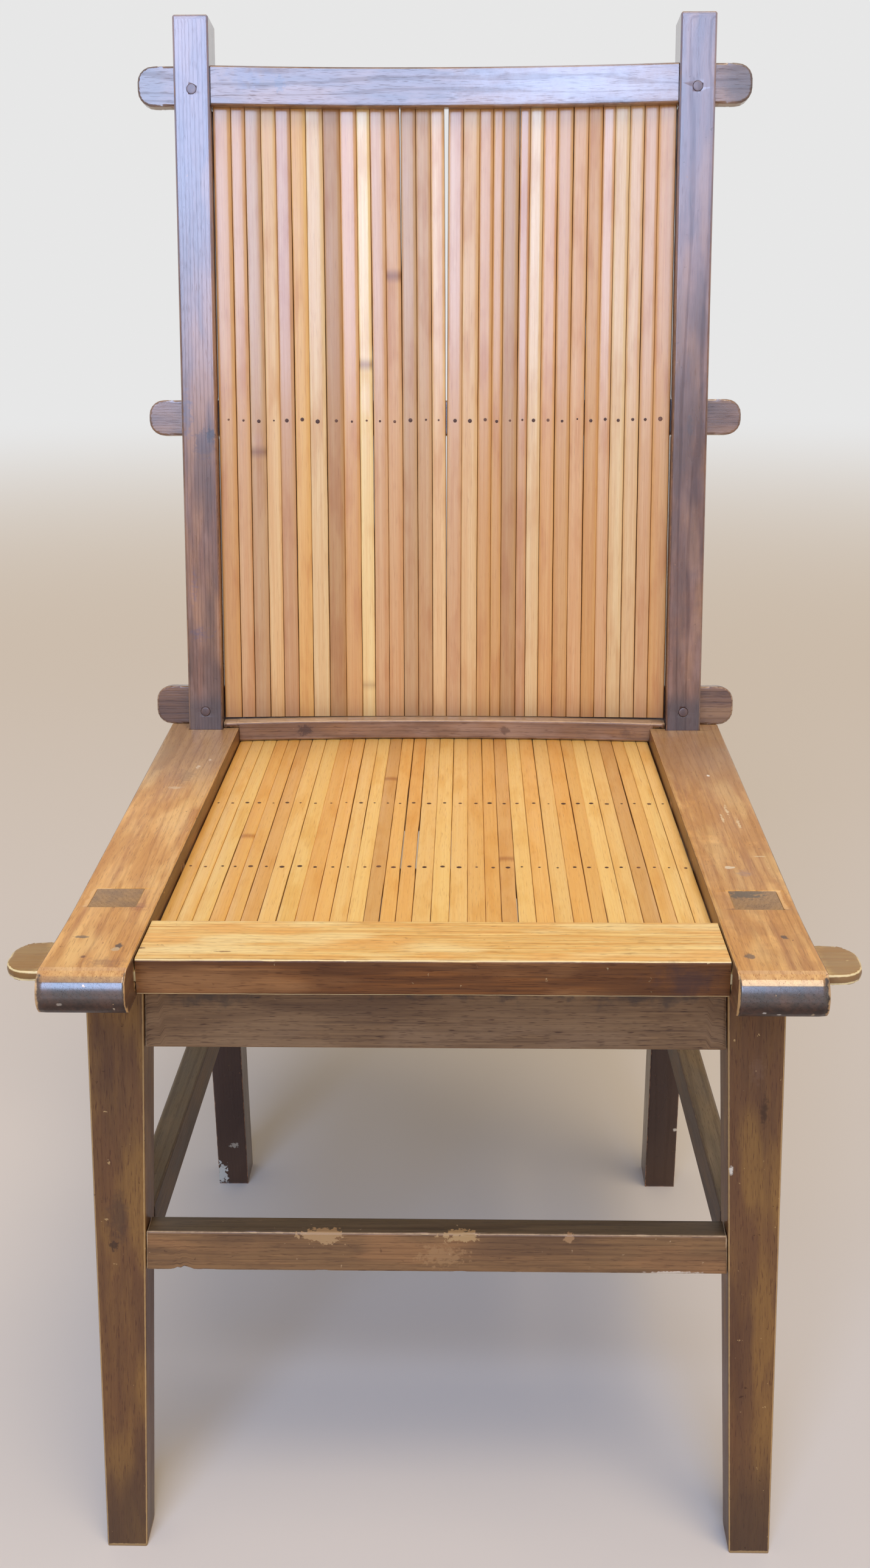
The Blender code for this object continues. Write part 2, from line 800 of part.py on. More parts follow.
top_rail = back_rail(
    "top_back_rail", top_rail_setback, top_rail_thickness, top_tenon_front,
    top_rail_bottom, top_rail_height, top_rail_rebate,
)
back_rail(
    "middle_back_rail", rail_front, middle_rail_thickness, tenon_front,
    middle_rail_bottom, middle_rail_height,
)
bottom_rail = back_rail(
    "bottom_back_rail", rail_front, bottom_rail_thickness, tenon_front,
    bottom_rail_rise, bottom_rail_height,
)
ears = (
    ("top", top_tenon_front, top_rail_bottom, top_rail_height),
    ("middle", tenon_front, middle_rail_bottom, middle_rail_height),
    ("bottom", tenon_front, bottom_rail_rise, bottom_rail_height),
)
pegged = (
    ("top", top_rail, top_rail_bottom + top_rail_height / 2 - peg_drop),
    ("bottom", bottom_rail, bottom_rail_rise + bottom_rail_height / 2 - peg_drop),
)
for side, label in sides:
    cut(boards[side], rail_housing("bottom_rail_housing_" + label, side))
    for level, ear_front, low_z, height in ears:
        cut(posts[side], ear_mortise(f"{level}_ear_mortise_{label}", side, ear_front, low_z, height))
    for level, rail, height_z in pegged:
        peg, bore = peg_and_bore(f"{level}_rail_peg_{label}", side, height_z)
        cut(posts[side], bore)
        cut(rail, bore)

back_slats()
seat_slats()


def fit_cross_bar(name, front_y, thickness, low_z, high_z, inner_x, uprights, material):
    """A cross bar and its mortises. One that is higher than the aprons rises between the side
    boards to the underside of the slats."""
    reach = opening_half - clearance
    rear_y = front_y + thickness
    low = Vector((-opening_half, front_y, low_z))
    high = Vector((opening_half, rear_y, min(high_z, apron_top)))
    bar = cross_bar(name, low, high, inner_x, material)
    for side, label in sides:
        cut(uprights[side], cross_mortise(f"{name}_mortise_{label}", low, high, side, inner_x))
    if high_z > apron_top:
        crest_low = (-reach, front_y + arris, apron_top - overrun)
        crest = cutter_box(name + "_crest", crest_low, (reach, rear_y - arris, high_z))
        join = bar.modifiers.new("crest", "BOOLEAN")
        join.operation = "UNION"
        join.object = crest


fit_cross_bar(
    "front_apron", front_apron_y, apron_thickness, apron_bottom, support_top,
    leg_inner_x, front_legs, worn_stain,
)
fit_cross_bar(
    "rear_apron", rear_apron_y, apron_thickness, apron_bottom, support_top,
    rear_leg_inner_x, posts, dark_stain,
)
fit_cross_bar(
    "front_stretcher", stretcher_y, stretcher_thickness, stretcher_bottom, stretcher_top,
    leg_inner_x, front_legs, worn_stain,
)
fit_cross_bar(
    "rear_stretcher", rear_stretcher_y, stretcher_thickness, stretcher_bottom, stretcher_top,
    rear_leg_inner_x, posts, dark_stain,
)


def fit_side_bars(name, front_x, rear_x, thickness, low_z, high_z, material):
    for side, label in sides:
        size = (side, front_x, rear_x, thickness, low_z, high_z)
        side_bar(f"{name}_{label}", *size, material)
        front, rear = side_mortises(f"{name}_mortise_{label}", *size)
        cut(front_legs[side], front)
        cut(posts[side], rear)


stretcher_middle = (stretcher_bottom + stretcher_top) / 2
fit_side_bars(
    "side_stretcher",
    leg_centre_x(stretcher_middle) - side_stretcher_front_inset,
    rear_leg_centre_x(stretcher_middle) - side_stretcher_rear_inset,
    stretcher_thickness, stretcher_bottom, stretcher_top, worn_stain,
)
fit_side_bars(
    "side_apron", leg_centre_x(apron_top), post_centre,
    apron_thickness, apron_bottom, apron_top, dark_stain,
)

battens = (("front_seat_batten", front_batten_from_nose), ("rear_seat_batten", rear_batten_from_nose))
for name, from_nose in battens:
    centre_y = nose_y + from_nose
    batten(name, centre_y, worn_stain)
    mortise = cutter_box(name + "_mortise", *grown(*batten_tenon(centre_y)))
    for side in boards:
        cut(boards[side], mortise)
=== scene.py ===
# Slatted wooden chair: stained hardwood frame, split bamboo back and seat, pegs and pins.
# Metres, +Z up, the sitter faces -Y. Left is -X, as seen from the front.
import math
import random

import bmesh
import bpy
from mathutils import Matrix, Vector, noise


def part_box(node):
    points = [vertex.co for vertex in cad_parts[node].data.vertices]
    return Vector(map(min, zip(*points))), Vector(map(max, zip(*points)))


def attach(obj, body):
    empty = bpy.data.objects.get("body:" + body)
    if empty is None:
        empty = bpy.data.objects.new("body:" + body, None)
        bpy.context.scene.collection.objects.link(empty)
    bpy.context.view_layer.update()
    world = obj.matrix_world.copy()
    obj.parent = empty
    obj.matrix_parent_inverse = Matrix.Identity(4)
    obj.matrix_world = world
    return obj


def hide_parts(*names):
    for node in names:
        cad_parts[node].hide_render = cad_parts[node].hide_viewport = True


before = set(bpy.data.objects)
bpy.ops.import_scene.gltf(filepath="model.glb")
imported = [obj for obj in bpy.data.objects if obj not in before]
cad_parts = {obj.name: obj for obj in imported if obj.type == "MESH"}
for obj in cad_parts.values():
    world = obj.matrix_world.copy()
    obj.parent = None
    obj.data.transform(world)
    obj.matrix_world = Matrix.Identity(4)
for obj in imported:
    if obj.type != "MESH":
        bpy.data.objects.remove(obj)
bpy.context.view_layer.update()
mm = 0.001
print("frame loaded:", len(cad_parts), "nodes")


def linear(hexColour):
    parts = [int(hexColour[i:i + 2], 16) / 255 for i in (1, 3, 5)]
    return [*(c / 12.92 if c <= 0.04045 else ((c + 0.055) / 1.055) ** 2.4 for c in parts), 1.0]


def addObject(name, data):
    thing = bpy.data.objects.new(name, data)
    bpy.context.scene.collection.objects.link(thing)
    return thing


def feed(tree, socket, value):
    if isinstance(value, bpy.types.NodeSocket):
        tree.links.new(value, socket)
    else:
        socket.default_value = value


# One node with its settings, values and links. Values go by socket name, or in the sockets' order.
# What comes back is the named output, or else the first one.
def addNode(tree, kind, values=(), out=None, **settings):
    node = tree.nodes.new("ShaderNode" + kind)
    for name, value in settings.items():
        setattr(node, name, value)
    live = [s for s in node.inputs if s.enabled]
    for key, value in values.items() if isinstance(values, dict) else enumerate(values):
        feed(tree, live[key] if isinstance(key, int) else next(s for s in live if s.name == key), value)
    return node.outputs[out] if out else next(s for s in node.outputs if s.enabled)


smooth = {"interpolation_type": "SMOOTHSTEP"}
rgba = {"data_type": "RGBA"}


def feedShader(tree, shader, values):
    for name, value in values.items():
        feed(tree, shader.inputs[name], value)


def newMaterial(name):
    material = bpy.data.materials.new(name)
    material.use_nodes = True
    return material, material.node_tree, material.node_tree.nodes["Principled BSDF"]


# Noises drawn out along the grain: how long and how wide one wave is in mm, detail, roughness.
def grainNoises(tree, coordinates, sizes):
    noises = {}
    for name, (alongMm, acrossMm, detail, roughness) in sizes.items():
        along, across = 1 / (alongMm * mm), 1 / (acrossMm * mm)
        drawn = addNode(tree, "Mapping", {"Vector": coordinates, "Scale": (along, across, across)})
        noises[name] = addNode(tree, "TexNoise", {
            "Vector": drawn, "Scale": 1.0, "Detail": detail, "Roughness": roughness,
        })
    return noises


# Each layer lays a tint over the colour where its mask rises from low to high, mixed unless told.
def layTints(tree, colour, layers):
    for mask, low, high, strength, tint, *mode in layers:
        factor = addNode(tree, "MapRange", [mask, low, high, 0.0, strength], **smooth)
        blend = mode[0] if mode else "MIX"
        colour = addNode(tree, "Mix", [factor, colour, linear(tint)], blend_type=blend, **rgba)
    return colour


# A stain, knot, scuff, paint spot, or patch of painted light or shade on the chair. It is told by its
# middle, its half sizes in mm, its colour and strength, and by what of its outline differs from the usual
# one.
usualOutline = {"ragged": 0.5, "soft": 0.5, "grainMm": 3}


def layMark(tree, colour, place, mark):
    middle, halfMm, tint, strength, *own = mark
    outline = {**usualOutline, **(own[0] if own else {})}
    scale = [1 / (half * mm) for half in halfMm]
    shift = [-at * each for at, each in zip(middle, scale)]
    near = addNode(tree, "Mapping", {"Vector": place, "Location": shift, "Scale": scale})
    away = addNode(tree, "VectorMath", [near], operation="LENGTH", out="Value")
    wander = addNode(tree, "TexNoise", {
        "Vector": place, "Scale": 1 / (outline["grainMm"] * mm), "Detail": 4.0, "Roughness": 0.6,
    })
    wander = addNode(tree, "MapRange", [wander, 0.25, 0.75, -outline["ragged"], outline["ragged"]])
    away = addNode(tree, "Math", [away, wander], operation="ADD")
    factor = addNode(tree, "MapRange", [away, 1.0, 1.0 - outline["soft"], 0.0, strength], **smooth)
    return addNode(tree, "Mix", [factor, colour, linear(tint)], **rgba)


# Hardwood under dark stain and old rubbed varnish. Straight long grain shows as soft pale and
# dark streaks with short open pores, and the arrises are rubbed back to the bare golden timber.
def stainedHardwood(name, look):
    material, tree, shader = newMaterial(name)
    grain = addNode(tree, "Attribute", attribute_name="grain", out="Vector")
    edge = addNode(tree, "Attribute", attribute_name="edge", out="Fac")
    place = addNode(tree, "TexCoord", out="Object")
    facing = addNode(tree, "NewGeometry", out="Normal")
    facing = addNode(tree, "SeparateXYZ", [facing]).node.outputs
    height = addNode(tree, "SeparateXYZ", [place], out="Z")
    back = addNode(tree, "SeparateXYZ", [place], out="Y")

    # fibres and pores are drawn a little wider than real ones so that they show
    waves = grainNoises(tree, grain, {
        "streaks": (75, look["streakMm"], 4.0, 0.6), "fibres": (22, 0.45, 2.0, 0.6),
        "pores": (8, 0.55, 1.0, 0.5), "clouds": (55, 16, 3.0, 0.55), "slow": (130, 24, 2.0, 0.5),
        "glow": (90, 20, 2.0, 0.5), "uneven": (35, 9, 2.0, 0.5),
    })
    # growth rings about a pith that lies beside the plank, drawn out into long pointed arches
    pith = (0, look["pithMm"] * mm, look["pithMm"] * 0.6 * mm)
    rings = addNode(tree, "Mapping", {"Vector": grain, "Scale": (0.07, 1, 1), "Location": pith})
    rings = addNode(tree, "TexWave", {
        "Vector": rings, "Scale": 0.314 / (look["ringMm"] * mm), "Distortion": look["ringWander"],
        "Detail": 2.0, "Detail Scale": 0.45, "Detail Roughness": 0.5,
    }, wave_type="RINGS", rings_direction="X")
    scuffs, nicks = (
        addNode(tree, "TexNoise", {
            "Vector": place, "Scale": 1 / (wideMm * mm), "Detail": detail, "Roughness": roughness,
        })
        for wideMm, detail, roughness in ((6, 5.0, 0.65), (4.5, 3.0, 0.6))
    )

    spread = look["contrast"]
    figure = addNode(tree, "MapRange", [waves["streaks"], 0.5 - spread, 0.5 + spread], **smooth)
    colour = addNode(tree, "Mix", [figure, linear(look["dark"]), linear(look["light"])], **rgba)
    colour = layTints(tree, colour, [
        (waves["clouds"], 0.44, 0.64, look["clouds"], look["faded"]),
        (waves["glow"], 0.48, 0.64, look["glows"], look["glow"]),
        (waves["slow"], 0.50, 0.66, look["clouds"], look["dark"]),
        (scuffs, 0.46, 0.62, look["mottle"], look["mottled"]),
    ])
    # faces that look up are handled and sunned most, down to the golden timber; on the seat boards and
    # the front rail their lighter tone is also painted light from above
    upward = addNode(tree, "MapRange", [facing["Z"], 0.55, 0.95, 0.0, look["topRubbed"]], **smooth)
    rubbed = addNode(tree, "Mix", [figure, linear(look["rubbedDark"]), linear(look["rubbed"])], **rgba)
    rubbed = layTints(tree, rubbed, [
        (waves["clouds"], 0.45, 0.62, 0.7, look["rubbedCloud"]),
        (waves["glow"], 0.50, 0.66, 0.7, look["rubbedGlow"]),
        (back, -0.03, 0.12, look["rearDust"], look["dust"]),
    ])
    colour = addNode(tree, "Mix", [upward, colour, rubbed], **rgba)
    colour = layTints(tree, colour, [
        (rings, 0.80, 0.98, look["rings"], look["ring"], "MULTIPLY"),
        (waves["fibres"], 0.35, 0.70, 0.22, "#FFFFFF", "SOFT_LIGHT"),
        (waves["pores"], 0.58, 0.72, look["pores"], look["pore"], "MULTIPLY"),
    ])
    colour = layTints(tree, colour, [(height, *tint) for tint in look["heights"]])
    for mark in look["stains"]:
        colour = layMark(tree, colour, place, mark)
    # arris wear, broken up by the scuffs, then small pale nicks and dark dents
    broken = addNode(tree, "MapRange", [scuffs, 0.2, 0.8, -look["wearBreak"], look["wearBreak"]])
    broken = addNode(tree, "Math", [edge, broken], operation="ADD")
    colour = layTints(tree, colour, [
        (broken, look["wearStart"], look["wearStart"] + 0.3, look["wear"], look["bare"]),
        (nicks, 0.71, 0.75, look["nicks"], look["bare"]),
        (nicks, 0.30, 0.26, look["nicks"], look["pore"], "MULTIPLY"),
    ])
    for mark in look["marks"]:
        colour = layMark(tree, colour, place, mark)

    dullest = look["rough"] + 0.08
    rough = addNode(tree, "MapRange", [waves["clouds"], 0.3, 0.7, look["rough"] - 0.05, dullest])
    rubbedDull = addNode(tree, "MapRange", [broken, 0.6, 1.2, 0.0, 0.12])
    rough = addNode(tree, "Math", [rough, rubbedDull], operation="ADD")
    relief = addNode(tree, "MapRange", [waves["pores"], 0.58, 0.72, 0.0, -1.0])
    relief = addNode(tree, "Math", [relief, waves["fibres"]], operation="ADD")
    sunk = addNode(tree, "MapRange", [rings, 0.80, 0.98, 0.0, -2.0 * look["sunk"]], **smooth)
    relief = addNode(tree, "Math", [relief, sunk], operation="ADD")
    bump = addNode(tree, "Bump", {"Height": relief, "Strength": look["relief"], "Distance": 0.15 * mm})
    bump = addNode(tree, "Bump", {
        "Height": waves["uneven"], "Strength": 0.3, "Distance": 0.6 * mm, "Normal": bump,
    })
    # the varnish has sunk into the late wood and the pores, which stay dull where the rest glares
    sunkCoat = look["coat"] * (1 - look["sunk"])
    matt = addNode(tree, "MapRange", [rings, 0.80, 0.98, look["coat"], sunkCoat], **smooth)
    poreMatt = addNode(tree, "MapRange", [waves["pores"], 0.56, 0.72, 1.0, 0.5], **smooth)
    matt = addNode(tree, "Math", [matt, poreMatt], operation="MULTIPLY")
    kept = addNode(tree, "MapRange", [height, *look["coatFrom"], look["coatLost"], 1.0], **smooth)
    matt = addNode(tree, "Math", [matt, kept], operation="MULTIPLY")
    feedShader(tree, shader, {
        "Base Color": colour, "Roughness": rough, "Normal": bump, "IOR": 1.5, "Coat Weight": matt,
        "Coat IOR": look["coatIor"], "Coat Roughness": look["coatRough"],
        "Specular IOR Level": look["specular"],
    })
    return material


# End grain of hardwood: arcs of the growth rings, open pores as dark specks, dirt in blotches.
def endGrain(name, look):
    material, tree, shader = newMaterial(name)
    place = addNode(tree, "TexCoord", out="Object")
    arcs = addNode(tree, "Mapping", {"Vector": place, "Location": (0.05, 0.09, 0)})
    arcs = addNode(tree, "TexWave", {
        "Vector": arcs, "Scale": 0.314 / (3.0 * mm), "Distortion": 5.0, "Detail": 3.0,
        "Detail Scale": 1.5,
    }, wave_type="RINGS", rings_direction="Z")
    specks = addNode(tree, "TexNoise", {"Vector": place, "Scale": 1 / (0.8 * mm), "Detail": 2.0})
    dirt = addNode(tree, "TexNoise", {"Vector": place, "Scale": 1 / (9 * mm), "Detail": 4.0})
    colour = addNode(tree, "Mix", [arcs, linear(look["dark"]), linear(look["light"])], **rgba)
    colour = layTints(tree, colour, [
        (dirt, 0.4, 0.65, 0.6, look["dirt"]), (specks, 0.56, 0.68, 0.6, look["pore"], "MULTIPLY"),
    ])
    for mark in look["marks"]:
        colour = layMark(tree, colour, place, mark)
    bump = addNode(tree, "Bump", {"Height": specks, "Strength": 0.3, "Distance": 0.12 * mm})
    feedShader(tree, shader, {
        "Base Color": colour, "Roughness": look["rough"], "Normal": bump, "Coat Weight": look["coat"],
        "Coat Roughness": 0.2,
    })
    return material


# Split bamboo, scraped and varnished: straight hair-fine fibres, darker vascular flecks, a dark
# line at each joint of the culm, grime and painted shade of the gaps along the edges. The satin varnish
# shines.
def splitBamboo(name, look):
    material, tree, shader = newMaterial(name)
    strip = addNode(tree, "Attribute", attribute_name="strip", out="Vector")
    tone = addNode(tree, "Attribute", attribute_name="tone", out="Color")
    joint, grimeAndShade, foot, gloss = (
        addNode(tree, "Attribute", attribute_name=layer, out="Fac")
        for layer in ("joint", "grimeAndShade", "foot", "gloss")
    )
    waves = grainNoises(tree, strip, {
        "fibres": (90, 0.42, 3.0, 0.6), "bands": (170, 2.4, 3.0, 0.55),
        "flecks": (14, 0.34, 1.0, 0.5), "patches": (60, 14, 3.0, 0.55),
    })
    broken = addNode(tree, "MapRange", [waves["patches"], 0.2, 0.7, -0.25, 0.2])
    soiledAndShaded = addNode(tree, "Math", [grimeAndShade, broken], operation="ADD")
    colour = layTints(tree, tone, [
        (waves["bands"], 0.34, 0.66, 0.5, look["warm"], "MULTIPLY"),
        (waves["fibres"], 0.35, 0.70, 0.5, look["fibre"], "MULTIPLY"),
        (waves["patches"], 0.48, 0.72, look["patch"], look["stain"], "MULTIPLY"),
        (waves["flecks"], 0.62, 0.74, look["flecks"], look["fleck"], "MULTIPLY"),
        (joint, 0.15, 1.0, 0.7, look["joint"], "MULTIPLY"),
        (foot, 0.0, 1.0, look["footDirt"], look["dirt"], "MULTIPLY"),
        # darker along the slats' edges: grime, and painted shade of the gaps between slats
        (soiledAndShaded, 0.2, 1.0, look["soilAndShade"], look["grimeAndShade"], "MULTIPLY"),
    ])
    dullest = look["rough"] + 0.08
    rough = addNode(tree, "MapRange", [waves["patches"], 0.25, 0.75, look["rough"] - 0.06, dullest])
    bump = addNode(tree, "Bump", {"Height": waves["fibres"], "Strength": 0.2, "Distance": 0.1 * mm})
    gloss = addNode(tree, "Math", [gloss, look["coat"]], operation="MULTIPLY")
    feedShader(tree, shader, {
        "Base Color": colour, "Roughness": rough, "Normal": bump, "IOR": 1.48, "Coat Weight": gloss,
        "Coat Roughness": look["coatRough"],
    })
    return material


# Iron of the pins, rusted: dull dark brown, blotched with lighter rust and lighter from pin to pin.
def rustedIron(name):
    material, tree, shader = newMaterial(name)
    place = addNode(tree, "TexCoord", out="Object")
    rust = addNode(tree, "TexNoise", {"Vector": place, "Scale": 1 / (0.9 * mm), "Detail": 4.0})
    pinToPin = addNode(tree, "TexNoise", {"Vector": place, "Scale": 1 / (11 * mm), "Detail": 1.0})
    colour = layTints(tree, linear("#3C2620"), [
        (rust, 0.35, 0.65, 0.5, "#6E4632"), (pinToPin, 0.45, 0.65, 0.6, "#8A5F44"),
    ])
    feedShader(tree, shader, {"Base Color": colour, "Roughness": 0.6, "Metallic": 0.2})
    return material


# The finish that the others start from. Sizes end in Mm, the other numbers are shares and
# strengths. "heights" fade a tint in from one height to another, "stains" lie under the wear and
# "marks" on top of it.
hardwood = {
    "dark": "#4E3222", "light": "#7E563A", "faded": "#80603F", "pore": "#8A6A58", "bare": "#C08F5E",
    "ring": "#8A6A58", "glow": "#94683F", "rubbedDark": "#8E6238", "rubbed": "#C1905A",
    "rubbedCloud": "#A5764A", "rubbedGlow": "#E6B472",
    "mottled": "#3A2A22", "mottle": 0.0, "dust": "#93765A", "rearDust": 0.0, "topRubbed": 0.0,
    "streakMm": 3.0, "contrast": 0.30, "clouds": 0.7, "glows": 0.6, "pores": 0.45, "nicks": 0.3,
    "pithMm": 60, "ringMm": 3.6, "ringWander": 9.0, "rings": 0.25, "sunk": 0.4,
    "wearStart": 0.75, "wearBreak": 0.35, "wear": 0.85, "heights": [], "stains": [], "marks": [],
    "rough": 0.36, "relief": 0.3, "coat": 0.3, "coatRough": 0.2, "coatIor": 1.5,
    "coatFrom": (-0.2, -0.1), "coatLost": 0.2, "specular": 0.4,
}
# the golden top that the seat boards and their noses share: rubbed timber, brightened with painted light
# from above
goldenTop = {
    "topRubbed": 0.97, "rubbedDark": "#B87A38", "rubbed": "#F0B868", "rubbedCloud": "#CC9048",
    "rubbedGlow": "#F6C87C",
}
finishes = {}
# posts: mauve brown, the varnish still whole, so they glare under the window
finishes["variedPostVarnish"] = {
    "dark": "#543628", "light": "#885C46", "faded": "#8E6A5A", "bare": "#B07E5A", "glow": "#A87850",
    "rough": 0.30, "coat": 1.0, "coatRough": 0.16, "coatIor": 1.56, "coatFrom": (0.420, 0.450),
    "pithMm": 45, "ringMm": 2.4, "ringWander": 7.0, "rings": 0.35, "sunk": 0.35,
    "pores": 0.2, "relief": 0.12, "streakMm": 7.0, "contrast": 0.36,
    # a pale blue painted glare near the top, nearly black at the seat and below it as painted shade of
    # the seat, browner at the foot
    "heights": [
        (0.72, 0.90, 0.3, "#A3B4D4"), (0.482, 0.466, 0.7, "#3A3036"),
        (0.450, 0.390, 0.75, "#331F13"), (0.08, 0.0, 0.3, "#5E4430"),
    ],
    "stains": [
        ((0.1838, 0.19, 0.585), (40, 60, 130), "#4A3A40", 0.35,
         {"ragged": 0.6, "soft": 1.0, "grainMm": 20}),
    ],
    "marks": [
        ((-0.176, 0.2021, 0.67), (4.5, 12, 5.5), "#241C22", 0.85),
        ((-0.18, 0.2021, 0.664), (9, 12, 13), "#4A3A40", 0.5),
        ((-0.1925, 0.2046, 0.685), (5, 12, 22), "#4A4F66", 0.5, {"soft": 0.8}),
        ((0.1835, 0.206, 0.675), (3, 12, 10), "#4A3836", 0.5),
        ((-0.185, 0.166, 0.524), (15, 20, 9), "#4C4660", 0.5, {"soft": 0.8}),
        ((-0.19, 0.17, 0.56), (5, 20, 22), "#505070", 0.5, {"soft": 0.8}),
        # old wall paint on the rear feet
        ((-0.201, 0.241, 0.011), (5.0, 12, 12), "#C9CBC4", 0.9, {"ragged": 0.9, "soft": 0.2}),
        ((-0.188, 0.237, 0.044), (4, 12, 2.5), "#A9A294", 0.7, {"ragged": 0.9, "soft": 0.3}),
        ((0.202, 0.233, 0.0648), (2.5, 12, 2), "#D5CCBB", 0.9),
    ],
}
# top and middle rails: dark brown under whole varnish, which glares, with darker ears
finishes["stainedRailVarnish"] = {
    "dark": "#4E3428", "light": "#7C5642", "faded": "#8A6A5A", "bare": "#B07E5A", "rough": 0.32,
    "coat": 1.0, "coatRough": 0.18, "coatIor": 1.66, "relief": 0.2, "pithMm": 34, "ringMm": 1.9,
    "ringWander": 9.0, "rings": 0.25, "sunk": 0.3, "streakMm": 5.0, "contrast": 0.36,
    "marks": [
        *(((x, 0.246, 0.918), (26, 60, 30), "#4A3C38", 0.6, {"ragged": 0.1}) for x in (-0.224, 0.224)),
        # a pale blue-white painted glare on the right half
        ((0.09, 0.246, 0.918), (110, 40, 26), "#BCC4D6", 0.5,
         {"ragged": 0.25, "soft": 1.0, "grainMm": 14}),
        ((-0.145, 0.246, 0.9235), (24, 20, 11), "#4C5270", 0.45, {"soft": 0.9, "grainMm": 8}),
        ((-0.12, 0.246, 0.918), (5, 20, 7), "#3C3A4A", 0.5),
    ],
}
# bottom rail: thin varnish, duller than on the posts, the arrises rubbed pale
finishes["wornLowRailVarnish"] = {
    "dark": "#54382A", "light": "#86624A", "faded": "#7C5C46", "rough": 0.40, "coat": 0.45,
    "wearStart": 0.5, "bare": "#C6A27C", "glow": "#9A744E",
}
# rail behind the seat: brown, with small knots, a worn pale lip, and lapped ends stained dark and painted
# blue-black with the shade of their recess
finishes["lappedRailStain"] = {
    "dark": "#6E503C", "light": "#9A7456", "faded": "#A08068", "rough": 0.42, "coat": 0.3,
    "wearStart": 0.5, "bare": "#C8A47C", "topRubbed": 0.9, "rubbedDark": "#8E7258",
    "rubbed": "#BC9E7C", "rubbedCloud": "#A88C70", "rubbedGlow": "#C8AA86",
    "marks": [
        ((-0.1082, 0.176, 0.447), (7, 12, 5), "#4A332A", 0.8),
        ((0.047, 0.176, 0.4465), (5, 12, 3.5), "#54392C", 0.6),
        ((0.142, 0.174, 0.446), (8, 12, 5), "#5C4438", 0.5, {"soft": 0.9}),
        # the lapped ends: dark stain together with painted blue-black shade of the recess beside the
        # posts
        *(((x, 0.172, 0.443), (7.5, 14, 9), "#3E363D", 0.9, {"ragged": 0.1, "soft": 0.1})
          for x in (-0.166, 0.166)),
    ],
}
# seat boards: rubbed golden on top, partly painted light from above, dusty towards the back
finishes["rubbedAndLitSeatVarnish"] = {
    **goldenTop, "dust": "#967A5C", "rearDust": 0.8, "bare": "#EBBE80", "rough": 0.40, "coat": 0.12,
    "rings": 0.2, "wearStart": 0.5, "streakMm": 6.0, "contrast": 0.24, "pores": 0.35, "nicks": 0.9,
    "stains": [
        ((0.185, 0.0, 0.45), (60, 330, 40), "#A27038", 0.32,
         {"ragged": 0.8, "soft": 0.6, "grainMm": 30}),
    ],
    # on top: place across and along, half sizes across and along, colour, strength, outline
    "marks": [((x, y, 0.45), (across, along, 9), *rest) for x, y, across, along, *rest in [
        (-0.169, -0.244, 2.4, 5.5, "#4E4038", 0.9),
        (-0.1698, -0.2475, 2.6, 2.8, "#CDB086", 0.9, {"ragged": 0.3, "soft": 0.2}),
        (-0.1917, -0.2311, 4.5, 2.4, "#6E604C", 0.8),
        (-0.1849, -0.2575, 1.8, 2.4, "#6A3C26", 0.8),
        (-0.1683, -0.1889, 7, 9, "#A05C34", 0.5, {"soft": 0.8}),
        (-0.172, -0.265, 14, 9, "#8A5E3C", 0.5, {"soft": 0.9}),
        (0.1908, -0.2276, 2.2, 2.8, "#5C4432", 0.9),
        (0.168, -0.253, 3.2, 4.0, "#6A5848", 0.8),
        (0.1767, -0.1235, 3.6, 2.4, "#E6D3B0", 0.9, {"ragged": 0.6, "soft": 0.2}),
        (0.184, -0.133, 6, 7, "#8F7676", 0.45, {"soft": 0.8}),
        # pale specks and short scratches
        (0.188, 0.0542, 1.3, 2.2, "#F0E8D8", 0.95),
        (0.19, -0.02, 1.2, 12, "#E8D0A0", 0.8, {"ragged": 0.9}),
        (0.185, -0.036, 1.0, 8, "#E8D0A0", 0.8, {"ragged": 0.9}),
        (0.194, -0.045, 1.2, 10, "#E8D0A0", 0.7, {"ragged": 0.9}),
        (0.198, -0.105, 5, 1.2, "#E0C898", 0.7),
        (-0.175, 0.072, 1.6, 4.0, "#DCCCAE", 0.8, {"ragged": 0.9}),
        (-0.169, 0.088, 1.2, 3.0, "#DCCCAE", 0.8, {"ragged": 0.9}),
        (-0.184, 0.025, 5, 3, "#D8C09A", 0.6, {"ragged": 1.0}),
        (-0.18, 0.05, 9, 22, "#6E4A2E", 0.4, {"soft": 0.9}),
    ]],
}
# the rolled nose of a seat board is end grain, which drank more stain and is polished by hands
finishes["polishedNoseVarnish"] = {
    **goldenTop, "dark": "#22140C", "light": "#42281A", "faded": "#4E3020", "glow": "#5E3C26",
    "mottled": "#1C110B", "mottle": 0.5, "rings": 0.1, "rough": 0.40, "coat": 1.0,
    "coatRough": 0.24, "coatIor": 1.9, "coatFrom": (0.4320, 0.4390), "coatLost": 0.15,
    "specular": 0.2, "sunk": 0.1, "bare": "#DDB078", "wearStart": 0.65, "nicks": 0.9,
    "marks": [
        ((0.1723, -0.282, 0.4305), (1.4, 6, 0.9), "#BCB2A4", 0.7),
        ((0.18, -0.282, 0.429), (1.9, 6, 1.0), "#BCB2A4", 0.8),
        ((0.1977, -0.282, 0.429), (1.4, 6, 1.8), "#A8906C", 0.8),
        ((-0.165, -0.282, 0.431), (1.0, 6, 1.0), "#C0A888", 0.7),
        ((-0.193, -0.282, 0.434), (2.0, 6, 1.0), "#B0A08C", 0.6),
    ],
}
